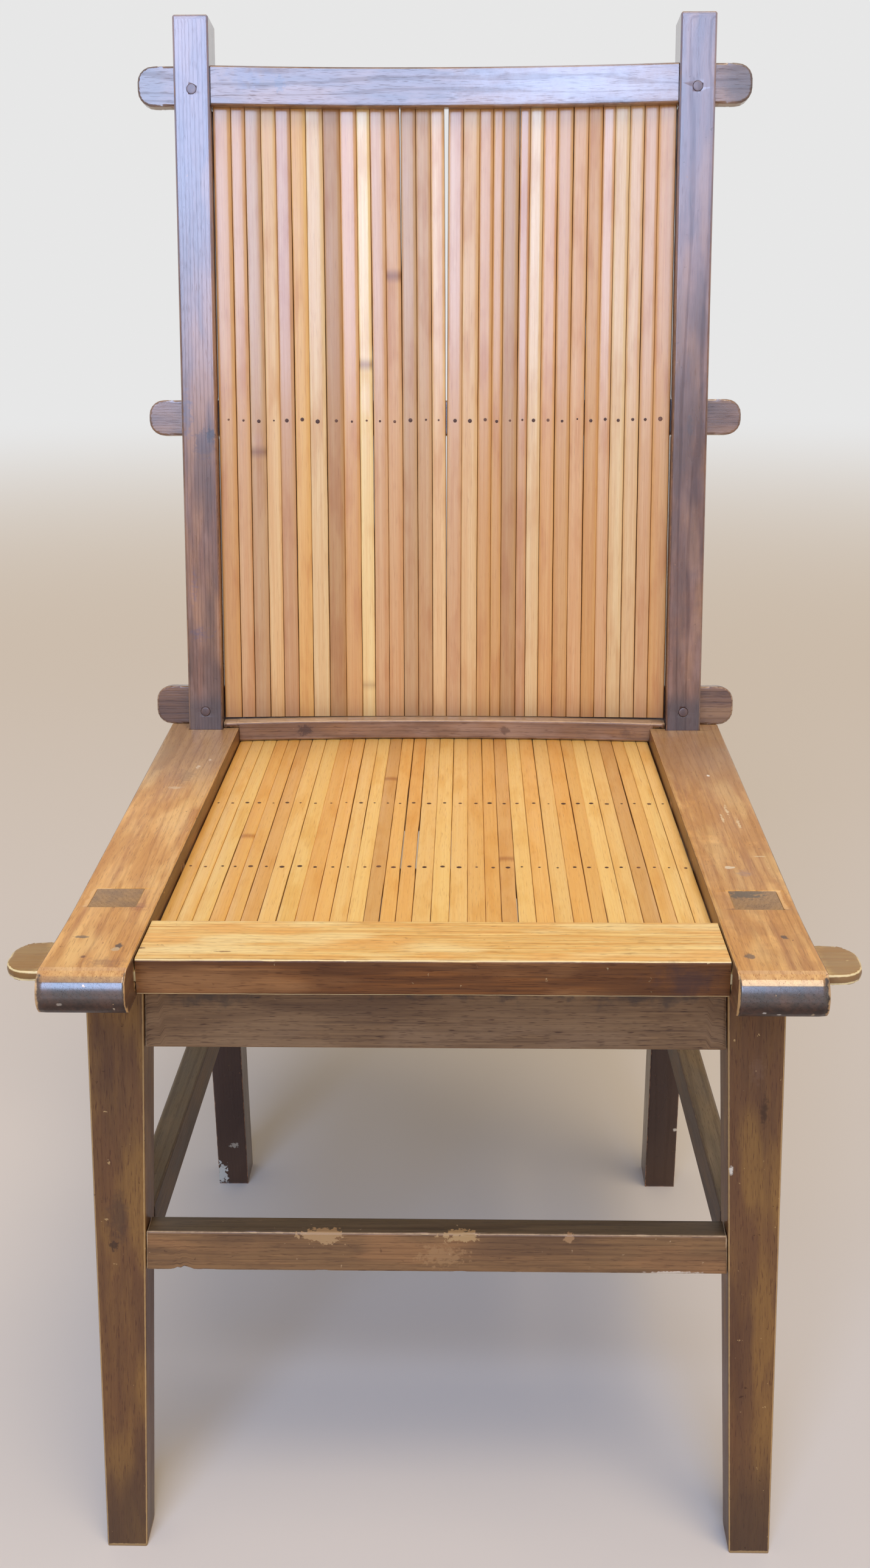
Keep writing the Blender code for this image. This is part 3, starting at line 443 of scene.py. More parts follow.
# front rail: the brightest golden top, rubbed and partly painted light from above, face left dark
finishes["rubbedAndLitFrontRailVarnish"] = {
    "stains": [
        ((-0.226, -0.236, 0.437), (26, 60, 40), "#89673A", 0.85, {"ragged": 0.1, "grainMm": 8}),
        ((0.226, -0.236, 0.437), (26, 60, 40), "#94734A", 0.85, {"ragged": 0.1, "grainMm": 8}),
    ],
    "topRubbed": 1.0, "rubbedDark": "#DEA24E", "rubbed": "#FFDC8C", "rubbedCloud": "#F2B868",
    "rubbedGlow": "#FFE6A0", "dark": "#4E2E18", "light": "#7A4A22", "faded": "#5E3A1E",
    "bare": "#F8E2A8", "wearStart": 0.45, "wearBreak": 0.12, "rings": 0.2, "streakMm": 1.8,
    "contrast": 0.22, "coat": 0.06, "specular": 0.2,
    "marks": [
        ((-0.1588, -0.2556, 0.432), (2.6, 4, 2.6), "#7A5A40", 0.7),
        ((-0.1572, -0.2412, 0.448), (3.0, 1.6, 4), "#7A5434", 0.8),
        ((-0.113, -0.2455, 0.448), (7.0, 0.9, 4), "#8A5E36", 0.8),
        ((0.135, -0.2556, 0.437), (26, 6, 14), "#3A2A2A", 0.6, {"soft": 0.9, "grainMm": 9}),
    ],
}
# legs: reddish brown and streaky
finishes["legVarnish"] = {
    "dark": "#4A3118", "light": "#7C5828", "faded": "#664420", "glow": "#98702F", "bare": "#D2AC72",
    "streakMm": 6.0, "pores": 0.75, "contrast": 0.36, "rings": 0.08, "wearStart": 0.2, "wear": 0.6,
    "wearBreak": 0.25, "nicks": 0.6, "specular": 0.2, "rough": 0.42, "coat": 0.15,
    "heights": [(0.45, 0.36, 0.35, "#6E4A3C"), (0.11, 0.01, 0.6, "#4C3B2C")],
    "marks": [
        ((-0.193, -0.192, 0.248), (9, 12, 22), "#43302A", 0.6, {"soft": 0.9, "grainMm": 7}),
        ((-0.1965, -0.192, 0.228), (3.5, 12, 4), "#33241E", 0.7),
        ((0.1935, -0.192, 0.323), (3, 12, 13), "#3A2618", 0.7, {"soft": 0.8}),
        ((0.1762, -0.192, 0.2834), (1.6, 12, 3), "#D9CDB8", 0.9),
        ((0.188, -0.192, 0.35), (6, 12, 12), "#7A5A44", 0.4, {"soft": 0.8}),
    ],
}
# aprons and hidden rails: dull, dry, dusty
finishes["dryApronStain"] = {
    "dark": "#60442C", "light": "#8A6844", "faded": "#846648", "bare": "#A88A6A", "glow": "#8A6A48",
    "rough": 0.58, "coat": 0.0, "streakMm": 1.4, "pores": 0.8, "rings": 0.2,
    "stains": [
        ((-0.13, -0.189, 0.394), (30, 8, 8), "#302C2A", 0.6, {"soft": 0.9, "grainMm": 6}),
        ((0.03, -0.189, 0.399), (70, 8, 9), "#302A2A", 0.7,
         {"ragged": 0.8, "soft": 0.9, "grainMm": 11}),
        ((0.125, -0.189, 0.397), (50, 8, 9), "#302A2A", 0.6,
         {"ragged": 0.8, "soft": 0.9, "grainMm": 11}),
    ],
}
# side stretchers: matt grey brown, with dust on top, darkened further with painted shade below the seat
finishes["shadedStretcherStain"] = {
    "dark": "#42342A", "light": "#5E4C3C", "faded": "#6A5642", "bare": "#8A7050", "glow": "#6A5238",
    "rough": 0.55, "coat": 0.0, "topRubbed": 0.6, "rubbedDark": "#7A6A4C", "rubbed": "#928060",
    "rubbedCloud": "#857350", "rubbedGlow": "#9A8662",
}
# front stretcher: dirty on top, the stain broken away in pale patches along the upper arris
finishes["chippedStretcherStain"] = {
    "dark": "#5C4028", "light": "#8A643C", "faded": "#7E5C38", "bare": "#C8A87E", "rough": 0.5,
    "coat": 0.05, "topRubbed": 0.9, "rubbedDark": "#463A28", "rubbed": "#5E4E38",
    "rubbedCloud": "#544630", "rubbedGlow": "#6E5A3C", "wearStart": 0.6, "wearBreak": 0.25,
    "nicks": 0.5,
    "marks": [
        ((-0.069, -0.189, 0.2345), (14, 4.5, 5.0), "#A8855A", 0.95, {"ragged": 0.7, "soft": 0.12}),
        ((0.0145, -0.189, 0.235), (11, 4.5, 3.8), "#AC8A5C", 0.95, {"ragged": 0.8, "soft": 0.12}),
        ((0.081, -0.189, 0.2345), (4, 4, 3.4), "#A07A52", 0.9, {"ragged": 0.5, "soft": 0.15}),
        ((0.145, -0.19, 0.2105), (19, 3, 1.4), "#DCCDB8", 0.85),
        ((0.004, -0.19, 0.222), (14, 4, 8), "#A07A50", 0.55, {"ragged": 0.9, "soft": 0.4}),
    ],
}
made = {name: stainedHardwood(name, {**hardwood, **look}) for name, look in finishes.items()}
# the tops of the posts and of the front legs' tenons: dull brown with fine arcs
made["hardwoodEndGrain"] = endGrain("hardwoodEndGrain", {
    "dark": "#9E7A4C", "light": "#A88456", "dirt": "#86694A", "pore": "#9A7E64",
    "rough": 0.5, "coat": 0.1,
    "marks": [((0.179, -0.166, 0.45), (13, 8, 9), "#5E5444", 0.8, {"ragged": 0.9})],
})
# pegs: darker, because their end grain drank the stain
made["pegEndGrain"] = endGrain("pegEndGrain", {
    "dark": "#6A4E40", "light": "#8C6A58", "dirt": "#54403A", "pore": "#8A7060",
    "rough": 0.45, "coat": 0.2,
    "marks": [
        *(((x, 0.165, 0.468), (12, 20, 12), "#453434", 0.7, {"ragged": 0.2}) for x in (-0.1838, 0.1838)),
        # the two top pegs: pale blue-grey painted glare
        ((-0.1838, 0.2418, 0.9154), (12, 20, 12), "#8C8EA4", 0.6, {"ragged": 0.4}),
        ((0.1838, 0.2418, 0.9154), (12, 20, 12), "#7C7A8C", 0.6, {"ragged": 0.4}),
    ],
})
# Back slats shine under their varnish. Seat slats are a satin gold and dusty at the rear.
bamboo = {
    "warm": "#F2D9B8", "fibre": "#E8D0AE", "stain": "#E2C29C", "fleck": "#C29A70", "joint": "#9A7248",
    "grimeAndShade": "#8A6240", "dirt": "#C4B4A2", "footDirt": 0.7, "soilAndShade": 0.8, "patch": 0.5, "flecks": 0.4,
    "rough": 0.34, "coat": 1.0, "coatRough": 0.16,
}
made["agedBackBamboo"] = splitBamboo("agedBackBamboo", bamboo)
made["goldenSeatBamboo"] = splitBamboo("goldenSeatBamboo", {
    **bamboo, "warm": "#FCF0DA", "fibre": "#F2E2C8", "stain": "#F0DDB8", "joint": "#C09A68",
    "patch": 0.6, "flecks": 0.5, "dirt": "#CCC0AC", "footDirt": 0.8, "coat": 0.15,
})
made["rustedPinIron"] = rustedIron("rustedPinIron")
print("materials made:", len(made))


def keep(name, bm, finishNames, slotName, replaced=(), creaseDegrees=50):
    mesh = bpy.data.meshes.new(name)
    bm.to_mesh(mesh)
    bm.free()
    piece = addObject(name, mesh)
    for finishName in finishNames:
        mesh.materials.append(made[finishName])
    mesh.shade_smooth()
    if creaseDegrees:
        mesh.set_sharp_from_angle(angle=math.radians(creaseDegrees))
    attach(piece, "root")
    if replaced:
        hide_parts(*replaced)
    return piece


# Metres: a vertex this near to a cut lies on it, and what reaches no more than the overlap beyond
# a cut is left out of the next one.
cutTolerance = 0.002 * mm
cutOverlap = 0.01 * mm
# Faces that meet at more than this many radians meet at an arris.
arrisTurn = 0.5


def cutAt(bm, point, direction, geometry=None):
    if geometry is None:
        geometry = bm.verts[:] + bm.edges[:] + bm.faces[:]
    return bmesh.ops.bisect_plane(
        bm, geom=geometry, dist=cutTolerance, plane_co=point, plane_no=direction)["geom"]


# Cuts a mesh by planes a step apart along an axis. Each cut only looks at what lies beyond it.
def cutRings(bm, axis, step):
    direction = Vector([1.0 if i == axis else 0.0 for i in range(3)])
    low = min(v.co[axis] for v in bm.verts)
    high = max(v.co[axis] for v in bm.verts)
    count = int((high - low) / step)
    ahead = None
    for i in range(1, count):
        level = low + (high - low) * i / count
        ahead = [
            part for part in cutAt(bm, direction * level, direction, ahead)
            if max(v.co[axis] for v in getattr(part, "verts", [part])) > level + cutOverlap
        ]


# Keeps one plane for all the faces that lie in it.
def addPlane(planes, face, alike):
    offset = face.normal.dot(face.verts[0].co)
    if not any(n.dot(face.normal) > alike and abs(o - offset) < 0.1 * mm for n, o in planes):
        planes.append((face.normal.copy(), offset))


# Edge loops a rim's width inside the long faces, so that arris wear stays near the arrises.
def cutRims(bm, axis, rim):
    largest = max(face.calc_area() for face in bm.faces)
    planes = []
    for face in bm.faces:
        if face.calc_area() >= largest * 0.2 and abs(face.normal[axis]) <= 0.35:
            addPlane(planes, face, 0.9999)
    for normal, offset in planes:
        cutAt(bm, normal * (offset - rim), normal)


# The rounded ears of a rail get rims along their own outline and on their thickness.
def cutEarRims(bm, axis, rim, earFrom):
    for side in (-1, 1):
        planes = []
        for face in bm.faces:
            if min(side * v.co[axis] for v in face.verts) > earFrom:
                addPlane(planes, face, 0.999)
        for normal, offset in planes:
            faces = [f for f in bm.faces if min(side * v.co[axis] for v in f.verts) > earFrom]
            geometry = list({part for f in faces for part in (*f.verts, *f.edges)}) + faces
            cutAt(bm, normal * (offset - rim), normal, geometry)


# Grain runs along the piece's own centre line, so it follows a splay, a rake or a dish.
def layGrain(bm, axis, step, seed):
    draw = random.Random(seed)
    shift = Vector([draw.uniform(-40, 40) for _ in range(3)]) * 0.1
    others = [i for i in range(3) if i != axis]
    boxes = {}
    for vertex in bm.verts:
        key = round(vertex.co[axis] / step)
        low, high = boxes.setdefault(key, (vertex.co.copy(), vertex.co.copy()))
        for i in others:
            low[i] = min(low[i], vertex.co[i])
            high[i] = max(high[i], vertex.co[i])
    layer = bm.verts.layers.float_vector.new("grain")
    for vertex in bm.verts:
        low, high = boxes[round(vertex.co[axis] / step)]
        away = vertex.co - (low + high) / 2
        across = [away[i] + 0.02 * shift[i] for i in others]
        vertex[layer] = Vector((vertex.co[axis] + shift.x, *across))


# Rounds and chips the arrises: each vertex on a convex edge sinks by a wandering depth.
def wearArrises(bm, spec, seed):
    draw = random.Random(seed + 100)
    shift = Vector([draw.uniform(-50, 50) for _ in range(3)])
    layer = bm.verts.layers.float.new("edge")
    sinks = []
    low, high = spec["calm"]
    for vertex in bm.verts:
        turns = [e.calc_face_angle_signed(0) for e in vertex.link_edges if e.is_manifold]
        calm = low < abs(vertex.co.x) < high and vertex.co.z > spec["calmAbove"]
        if not turns or max(turns) < arrisTurn or calm:
            continue
        vertex[layer] = 1.0
        wander = noise.noise(vertex.co / (9 * mm) + shift)
        slow = noise.noise(vertex.co / (60 * mm) - shift)
        depth = spec["wearMm"] * mm * (0.7 + 0.35 * wander + 0.4 * slow)
        chip = noise.noise(vertex.co / (spec["chipLengthMm"] * mm) + shift * 2) - spec["chipStart"]
        if chip > 0:
            depth += min(chip * 4, 1) * spec["chipMm"] * mm
            vertex[layer] = 1.0 + min(chip * 4, 0.6)
        sinks.append((vertex, vertex.normal * max(depth, 0)))
    for vertex, sink in sinks:
        vertex.co -= sink
    # splinters broken out of the lower front arris
    low, front = min(v.co.z for v in bm.verts), min(v.co.y for v in bm.verts)
    for at, halfMm, tallMm in spec["splinters"]:
        for vertex in bm.verts:
            away = (vertex.co.x - at) / (halfMm * mm)
            share = math.exp(-away ** 4) * (1 - (vertex.co.y - front) / (7 * mm))
            ragged = 0.8 + 0.5 * noise.noise(vertex.co / (3 * mm) + shift)
            vertex.co.z = max(vertex.co.z, low + tallMm * mm * share * ragged)


def dressTimber(node, spec, seed):
    axis = spec["axis"]
    bm = bmesh.new()
    bm.from_mesh(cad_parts[node].data)
    bmesh.ops.remove_doubles(bm, verts=bm.verts, dist=0.01 * mm)
    bmesh.ops.dissolve_limit(bm, angle_limit=math.radians(0.1), verts=bm.verts, edges=bm.edges)
    cutRims(bm, axis, spec["rimMm"] * mm)
    cutRings(bm, axis, spec["stepMm"] * mm)
    if "earFrom" in spec:
        cutEarRims(bm, axis, spec["earRimMm"] * mm, spec["earFrom"])
    bm.normal_update()
    layGrain(bm, axis, spec["stepMm"] * mm, seed)
    wearArrises(bm, spec, seed)
    for face in bm.faces:
        inNose = face.calc_center_median().y < spec["noseFrom"]
        if "noseFinish" in spec and face.normal.y < -0.15 and inNose:
            face.material_index = 1
        if "endFinish" in spec and abs(face.normal[axis]) > 0.8:
            face.material_index = 1
    # outer arrises are shaded round between their rims, inner corners stay crisp
    for edge in bm.edges:
        edge.smooth = edge.calc_face_angle_signed(0) > -arrisTurn
    second = [spec[k] for k in ("noseFinish", "endFinish") if k in spec]
    piece = keep("dressed_" + node, bm, [spec["finish"], *second], spec["slot"], [node], 0)
    shading = piece.modifiers.new("flat faces stay flat", "WEIGHTED_NORMAL")
    shading.keep_sharp = True


# "calm" is a range of distances from the middle plane, above "calmAbove", where nothing is worn.
# A splinter is its place across the chair in metres, and its half length and its depth in mm.
timber = {
    "axis": 0, "stepMm": 3.0, "rimMm": 1.6, "earRimMm": 3.4, "wearMm": 0.35, "chipMm": 0.5,
    "chipLengthMm": 8, "chipStart": 0.55, "calm": (0, 0), "calmAbove": 0.44, "splinters": [],
    "noseFrom": -0.26, "slot": "dark_stained_hardwood",
}
worn = {"slot": "worn_stained_hardwood"}
timbers = {
    # the rims of the peg holes are not worn
    "back_post_left back_post_right": {
        "axis": 2, "finish": "variedPostVarnish", "endFinish": "hardwoodEndGrain",
        "calm": (0.1795, 0.1881),
    },
    "front_leg_left front_leg_right": {
        "axis": 2, "rimMm": 2.4, "finish": "legVarnish", "endFinish": "hardwoodEndGrain",
    },
    "side_board_left side_board_right": {
        "axis": 1, "finish": "rubbedAndLitSeatVarnish", "noseFinish": "polishedNoseVarnish",
        "wearMm": 0.45, "calm": (0.1625, 0.1980),
    },
    "front_seat_rail": {"finish": "rubbedAndLitFrontRailVarnish", "wearMm": 0.6, "earFrom": 0.2062},
    "rear_seat_rail": {"finish": "lappedRailStain", "wearMm": 0.5},
    "top_back_rail middle_back_rail": {"finish": "stainedRailVarnish", "earFrom": 0.1975},
    "bottom_back_rail": {"finish": "wornLowRailVarnish", "earFrom": 0.1975},
    "front_apron": {"finish": "dryApronStain", **worn},
    "rear_apron": {"finish": "dryApronStain"},
    "side_apron_left side_apron_right": {"axis": 1, "finish": "dryApronStain"},
    "front_stretcher": {
        "finish": "chippedStretcherStain", **worn, "stepMm": 2.0, "wearMm": 0.5, "chipMm": 0.9,
        "chipStart": 0.35,
        "splinters": [(-0.1550, 6, 3.4), (-0.1400, 4, 1.0), (-0.0700, 3, 1.8), (0.0147, 3, 1.2)],
    },
    "rear_stretcher": {"finish": "dryApronStain"},
    "side_stretcher_left side_stretcher_right": {"axis": 1, "finish": "shadedStretcherStain", **worn},
    "front_seat_batten rear_seat_batten": {"finish": "dryApronStain", **worn},
}
everyTimber = [(node, spec) for nodes, spec in timbers.items() for node in nodes.split()]
for seed, (node, spec) in enumerate(everyTimber):
    dressTimber(node, {**timber, **spec}, seed)
print("timbers dressed:", len(everyTimber))


def middleOf(node):
    low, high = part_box(node)
    return (low + high) / 2


# The raked back's own frame: x across, z up the rake, y = 0 at the depth of the pegs' middles.
pegHigh, pegLow = middleOf("top_rail_peg_left"), middleOf("bottom_rail_peg_left")
rake = math.atan2(pegHigh.y - pegLow.y, pegHigh.z - pegLow.z)
backPlace = Matrix.Translation((0, pegLow.y, pegLow.z)) @ Matrix.Rotation(-rake, 4, "X")


def roundOff(bm, edges, offset):
    bmesh.ops.bevel(bm, geom=edges, offset=offset, offset_type="OFFSET", segments=3, profile=0.5,
                    affect="EDGES", material=-1, clamp_overlap=True)


def boxIn(place, node):
    inverse = place.inverted()
    points = [inverse @ v.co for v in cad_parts[node].data.vertices]
    return [Vector([pick(p[i] for p in points) for i in range(3)]) for pick in (min, max)]


pegs = {
    "domeMm": 0.2, "proudMm": 0.05, "arrisMm": 0.35, "sides": 32, "unevenMm": 0.05, "insetShare": 0.22,
}


# Hand-cut pegs: a slightly domed, slightly uneven head.
def dressPeg(node, seed):
    low, high = boxIn(backPlace, node)
    middle = (low + high) / 2
    radius = (high.x - low.x) / 2
    draw = random.Random(seed)
    bm = bmesh.new()
    turn = Matrix.Rotation(math.pi / 2, 4, "X")
    bmesh.ops.create_cone(bm, cap_ends=True, segments=pegs["sides"], radius1=radius, radius2=radius,
                          depth=high.y - low.y, matrix=Matrix.Translation(middle) @ turn)
    cap = min(bm.faces, key=lambda f: f.calc_center_median().y)
    roundOff(bm, list(cap.edges), pegs["arrisMm"] * mm)
    cap = min(bm.faces, key=lambda f: f.calc_center_median().y)
    for _ in range(3):
        bmesh.ops.inset_individual(
            bm, faces=[cap], thickness=radius * pegs["insetShare"], use_even_offset=True,
        )
    for vertex in bm.verts:
        out = math.hypot(vertex.co.x - middle.x, vertex.co.z - middle.z) / radius
        if vertex.co.y < middle.y:
            vertex.co.y += (pegs["domeMm"] * out * out - pegs["proudMm"]) * mm
            vertex.co.z += draw.uniform(-pegs["unevenMm"], pegs["unevenMm"]) * mm
    bmesh.ops.transform(bm, matrix=backPlace, verts=bm.verts)
    keep("dressed_" + node, bm, ["pegEndGrain"], "peg_end_grain", [node])


for seed, node in enumerate(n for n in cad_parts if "_peg_" in n):
    dressPeg(node, seed)
print("pegs dressed")


# What the slats of the back and of the seat share.
slat = {
    "thicknessMm": 4.5, "arrisMm": 0.5, "stepMm": 8.0, "crownMm": 0.3, "backGrime": 0.55,
    "jointLineMm": 1.6, "jointSwellMm": 5, "swellMm": 0.25, "edgeFrom": 0.9, "edgeWide": 0.1,
}


# A split bamboo slat that lies along z from zero, its face towards -y, before it is placed.
def slatMesh(look, width, length, seed, lean):
    draw = random.Random(seed)
    thickness = look["thicknessMm"] * mm
    bm = bmesh.new()
    size = Matrix.Diagonal((width, thickness, length, 1))
    bmesh.ops.create_cube(bm, size=1, matrix=Matrix.Translation((0, thickness / 2, length / 2)) @ size)
    long = [e for e in bm.edges if abs(e.verts[0].co.z - e.verts[1].co.z) > length / 2]
    roundOff(bm, long, look["arrisMm"] * mm)
    for share in (-0.25, 0, 0.25):
        cutAt(bm, (share * width, 0, 0), (1, 0, 0))
    cutRings(bm, 2, look["stepMm"] * mm)
    strip = bm.verts.layers.float_vector.new("strip")
    tone = bm.verts.layers.float_color.new("tone")
    joint, grimeAndShade, foot, gloss = (
        bm.verts.layers.float.new(layer) for layer in ("joint", "grimeAndShade", "foot", "gloss")
    )
    shift = Vector((draw.uniform(0, 9), draw.uniform(0, 0.4), draw.uniform(0, 0.4)))
    base = Vector(linear(look["tones"][look["order"][seed % len(look["order"])]])[:3])
    base *= 1 + draw.uniform(-0.05, 0.05)
    bow = draw.uniform(-1, 1) * look["bowMm"] * mm
    tilt = math.tan(math.radians(draw.uniform(-1, 1) * look["tiltDegrees"]))
    joints = look["joints"].get(seed, [])
    shine = draw.uniform(0.1, 1)
    grimeAndShadeBySide = {-1: draw.uniform(*look["grimeAndShadeBySide"]), 1: draw.uniform(*look["grimeAndShadeBySide"])}
    for vertex in bm.verts:
        x, y, z = vertex.co
        side = abs(x) / (width / 2)
        line, swell = (
            max([math.exp(-((z - length * at) / (look[wide] * mm)) ** 2) for at in joints], default=0)
            for wide in ("jointLineMm", "jointSwellMm")
        )
        vertex[strip] = Vector((z, x, y)) + shift
        vertex[joint] = line
        edgeGrimeAndShade = min(max(0, (side - look["edgeFrom"]) / look["edgeWide"]), 1)
        # the face is varnished and so is most of the edges; grime and painted shade of the gaps between
        # slats lie deepest on the edges' fronts
        if y < thickness * 0.6:
            vertex[grimeAndShade] = edgeGrimeAndShade * (grimeAndShadeBySide[math.copysign(1, x)] if y < thickness * 0.3 else 1.0)
            vertex[gloss] = shine * (1 - edgeGrimeAndShade)
        else:
            # the back was never varnished and has gathered dust
            vertex[grimeAndShade] = max(edgeGrimeAndShade, look["backGrime"])
        vertex[foot] = math.exp(-(length - z if look["dirtFar"] else z) / (look["dirtMm"] * mm))
        vertex[tone] = (*base, 1)
        if y < thickness / 2:
            crown = side * side * look["crownMm"] - swell * look["swellMm"] + look["crownMm"] * 0.15
            vertex.co.y += crown * mm
            vertex.co.y += (width / 2 + x * math.copysign(1, tilt)) * abs(tilt)
        else:
            # the slats are split a little wider at the back, so that the joints close
            vertex.co.x += math.copysign(look["flareMm"] * mm, x) if side > look["edgeFrom"] else 0
        wander = noise.noise(Vector((seed * 7.3, x * 300, z / (25 * mm))))
        vertex.co.x += wander * look["unevenMm"] * mm * side * (1 if x > 0 else -1)
        if x > 0 and side > look["edgeFrom"]:
            for at, half, wideMm in look["slits"].get(seed, []):
                vertex.co.x -= wideMm * mm * math.exp(-((z / length - at) / half) ** 4)
        vertex.co.x += bow * math.sin(math.pi * z / length) + lean * (max(z, 0) / length) ** 2.2
    return bm


backLow, backHigh = boxIn(backPlace, "back_slats_15_16")
edgeLow, edgeHigh = boxIn(backPlace, "back_slats_01_02")
backOpening = (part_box("back_slats_01_02")[0].x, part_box("back_slat_31")[1].x)
# Tones go from slat to slat in "order", one letter each. Gaps, joints and slits go by slat number.
backSlats = {
    **slat, "unevenMm": 0.1, "bowMm": 0.25, "tiltDegrees": 1.6, "flareMm": 0.3,
    "tones": {
        "t": "#D4A25F", "p": "#D6A973", "g": "#C8A16F", "l": "#E0BB82", "m": "#CA9B65",
        "y": "#DEB169", "c": "#E5C68E", "b": "#BF945D", "w": "#EDD290",
    },
    "order": "tpglmycbtwppgglplttbmcttptpclpt",
    "widthsMm": [
        12.6, 10.0, 11.4, 10.5, 11.0, 10.9, 12.3, 12.4, 12.1, 9.7, 10.5, 11.0, 10.9, 10.7, 10.0, 10.9,
        11.9, 10.0, 7.7, 11.2, 7.3, 9.6, 10.5, 10.9, 10.5, 10.2, 8.7, 10.5, 10.2, 10.0, 12.5,
    ],
    "gapsMm": {11: 1.2, 14: 3.6, 19: 0.6, 23: 0.5, 25: 0.4},
    "footMm": 0.1, "slackMm": 0.6, "jointMm": 0.08, "pinLean": 0.2,
    "dirtFar": False, "dirtMm": 14, "grimeAndShadeBySide": (0.2, 1.0), "slits": {},
    "joints": {9: [0.055, 0.50, 0.58], 2: [0.44], 11: [0.72]},
}


slatMiddles = {"back": [], "seat": []}


# The slats stand close together at the foot, and the gaps open towards the other end.
def placeSlats(field, look, opening, length, placeOf, slotName, finish, nodes):
    widths = [width * mm for width in look["widthsMm"]]
    far = [look["jointMm"] * mm + look["gapsMm"].get(i - 1, 0) * mm for i in range(len(widths) + 1)]
    fit = (opening[1] - opening[0]) / (sum(widths) + sum(far))
    near = sum(far) / len(far)
    footX = farX = opening[0]
    for i, width in enumerate(widths):
        footX += near * fit
        farX += far[i] * fit
        bm = slatMesh(look, width * fit, length, i, farX - footX)
        middle = footX + width * fit / 2
        bmesh.ops.transform(bm, matrix=placeOf(middle), verts=bm.verts)
        slatMiddles[field].append(middle + (farX - footX) * look["pinLean"])
        keep(f"{field}_slat_{i + 1:02d}", bm, [finish], slotName, [nodes[i // 2]])
        footX += width * fit
        farX += width * fit


def backSlatPlace(x):
    middle, edge = backLow.y, edgeLow.y
    reach = abs((edgeLow.x + edgeHigh.x) / 2)
    bend = (middle - edge) / reach ** 2
    lean = math.atan(-2 * bend * x)
    y = middle - bend * x * x
    foot = backLow.z + backSlats["footMm"] * mm
    return backPlace @ Matrix.Translation((x, y, foot)) @ Matrix.Rotation(lean, 4, "Z")


# in the order of the number that a node's name ends with
backNodes = sorted((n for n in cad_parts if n.startswith("back_slat")), key=lambda n: n[-2:])
backLength = backHigh.z - backLow.z - backSlats["slackMm"] * mm
placeSlats("back", backSlats, backOpening, backLength, backSlatPlace,
           "aged_bamboo", "agedBackBamboo", backNodes)
print("back slats placed")

seatLow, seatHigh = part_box("seat_slats_15_16")
seatOpening = (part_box("seat_slats_01_02")[0].x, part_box("seat_slats_31_32")[1].x)
widthDraw = random.Random(4)
# A slit is its place and half length as shares of the slat's length, and its width in mm.
seatSlats = {
    **slat, "unevenMm": 0.12, "bowMm": 0.2, "tiltDegrees": 0.6, "flareMm": 0.1, "jointMm": 0.1,
    "footMm": 0.5, "slackMm": 1.0,
    "tones": {"t": "#F5C671", "l": "#FDD684", "o": "#F0BE69", "y": "#FEDA86", "b": "#E5B66B"},
    "order": "tlyotblyotlybtolyltobytlotylbtyl",
    "widthsMm": [round(widthDraw.uniform(8.8, 11.0), 1) for _ in range(32)],
    "gapsMm": {5: 0.2, 9: 0.3, 13: 0.4, 16: 0.35, 18: 0.35, 22: 0.3, 26: 0.2, 31: 0.6},
    "joints": {3: [0.4], 12: [0.7], 20: [0.3], 27: [0.55]}, "pinLean": 0.4,
    "dirtFar": True, "dirtMm": 70, "grimeAndShadeBySide": (0.15, 1.0),
    "slits": {
        2: [(0.30, 0.12, 0.4)], 6: [(0.12, 0.14, 0.4)], 10: [(0.55, 0.14, 0.4)],
        12: [(0.10, 0.10, 0.4)], 13: [(0.46, 0.20, 1.0)], 14: [(0.36, 0.10, 0.9)],
        20: [(0.10, 0.10, 0.5)], 25: [(0.08, 0.08, 0.6)], 28: [(0.6, 0.15, 0.4)],
    },
}


def seatSlatPlace(x):
    foot = Matrix.Translation((x, seatLow.y + seatSlats["footMm"] * mm, seatHigh.z))
    return foot @ Matrix.Rotation(-math.pi / 2, 4, "X")


seatNodes = sorted(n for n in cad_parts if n.startswith("seat_slats"))
seatLength = seatHigh.y - seatLow.y - seatSlats["slackMm"] * mm
placeSlats("seat", seatSlats, seatOpening, seatLength, seatSlatPlace,
           "golden_bamboo", "goldenSeatBamboo", seatNodes)
print("seat slats placed")


# Rows of rusted pin heads, one in each slat, driven into the rail or the batten behind.
pins = {
    "diameterMm": 2.5, "proudMm": 0.25, "sides": 10, "strayMm": 0.8, "smallest": 0.5, "largest": 1.4,
    "belowRailMiddleMm": 2.2,
}


def drivePins(name, field, slatPlace, up, seed):
    draw = random.Random(seed)
    bm = bmesh.new()
    for x in slatMiddles[field]:
        place = slatPlace(x) @ Matrix.Translation((0, 0, up))
        radius = pins["diameterMm"] / 2 * mm * draw.uniform(pins["smallest"], pins["largest"])
        aside, along = (draw.uniform(-1, 1) * pins["strayMm"] * mm for _ in range(2))
        stray = Matrix.Translation((aside, 0, along))
        flat = Matrix.Diagonal((radius, pins["proudMm"] * mm, radius, 1))
        flat = flat @ Matrix.Rotation(math.pi / 2, 4, "X")
        bmesh.ops.create_uvsphere(
            bm, u_segments=pins["sides"], v_segments=6, radius=1, matrix=place @ stray @ flat,
        )
    keep(name, bm, ["rustedPinIron"], "worn_stained_hardwood")


railHeight = (backPlace.inverted() @ middleOf("middle_back_rail")).z
up = railHeight - pins["belowRailMiddleMm"] * mm - backLow.z - backSlats["footMm"] * mm
drivePins("back_pins", "back", backSlatPlace, up, 1)
for name in ("rear_seat_batten", "front_seat_batten"):
    up = middleOf(name).y - seatLow.y
    drivePins(name.replace("batten", "pins"), "seat", seatSlatPlace, up, up)
print("pins driven")


# A pale floor that turns into a pale backdrop.
stage = {
    "floor": "#D9D6D1", "radius": 14.0, "fadeFrom": 2.0, "fadeTo": 7.0, "backdrop": 0.80,
    "sky": 0.38, "skyTint": "#FFE9CC",
}


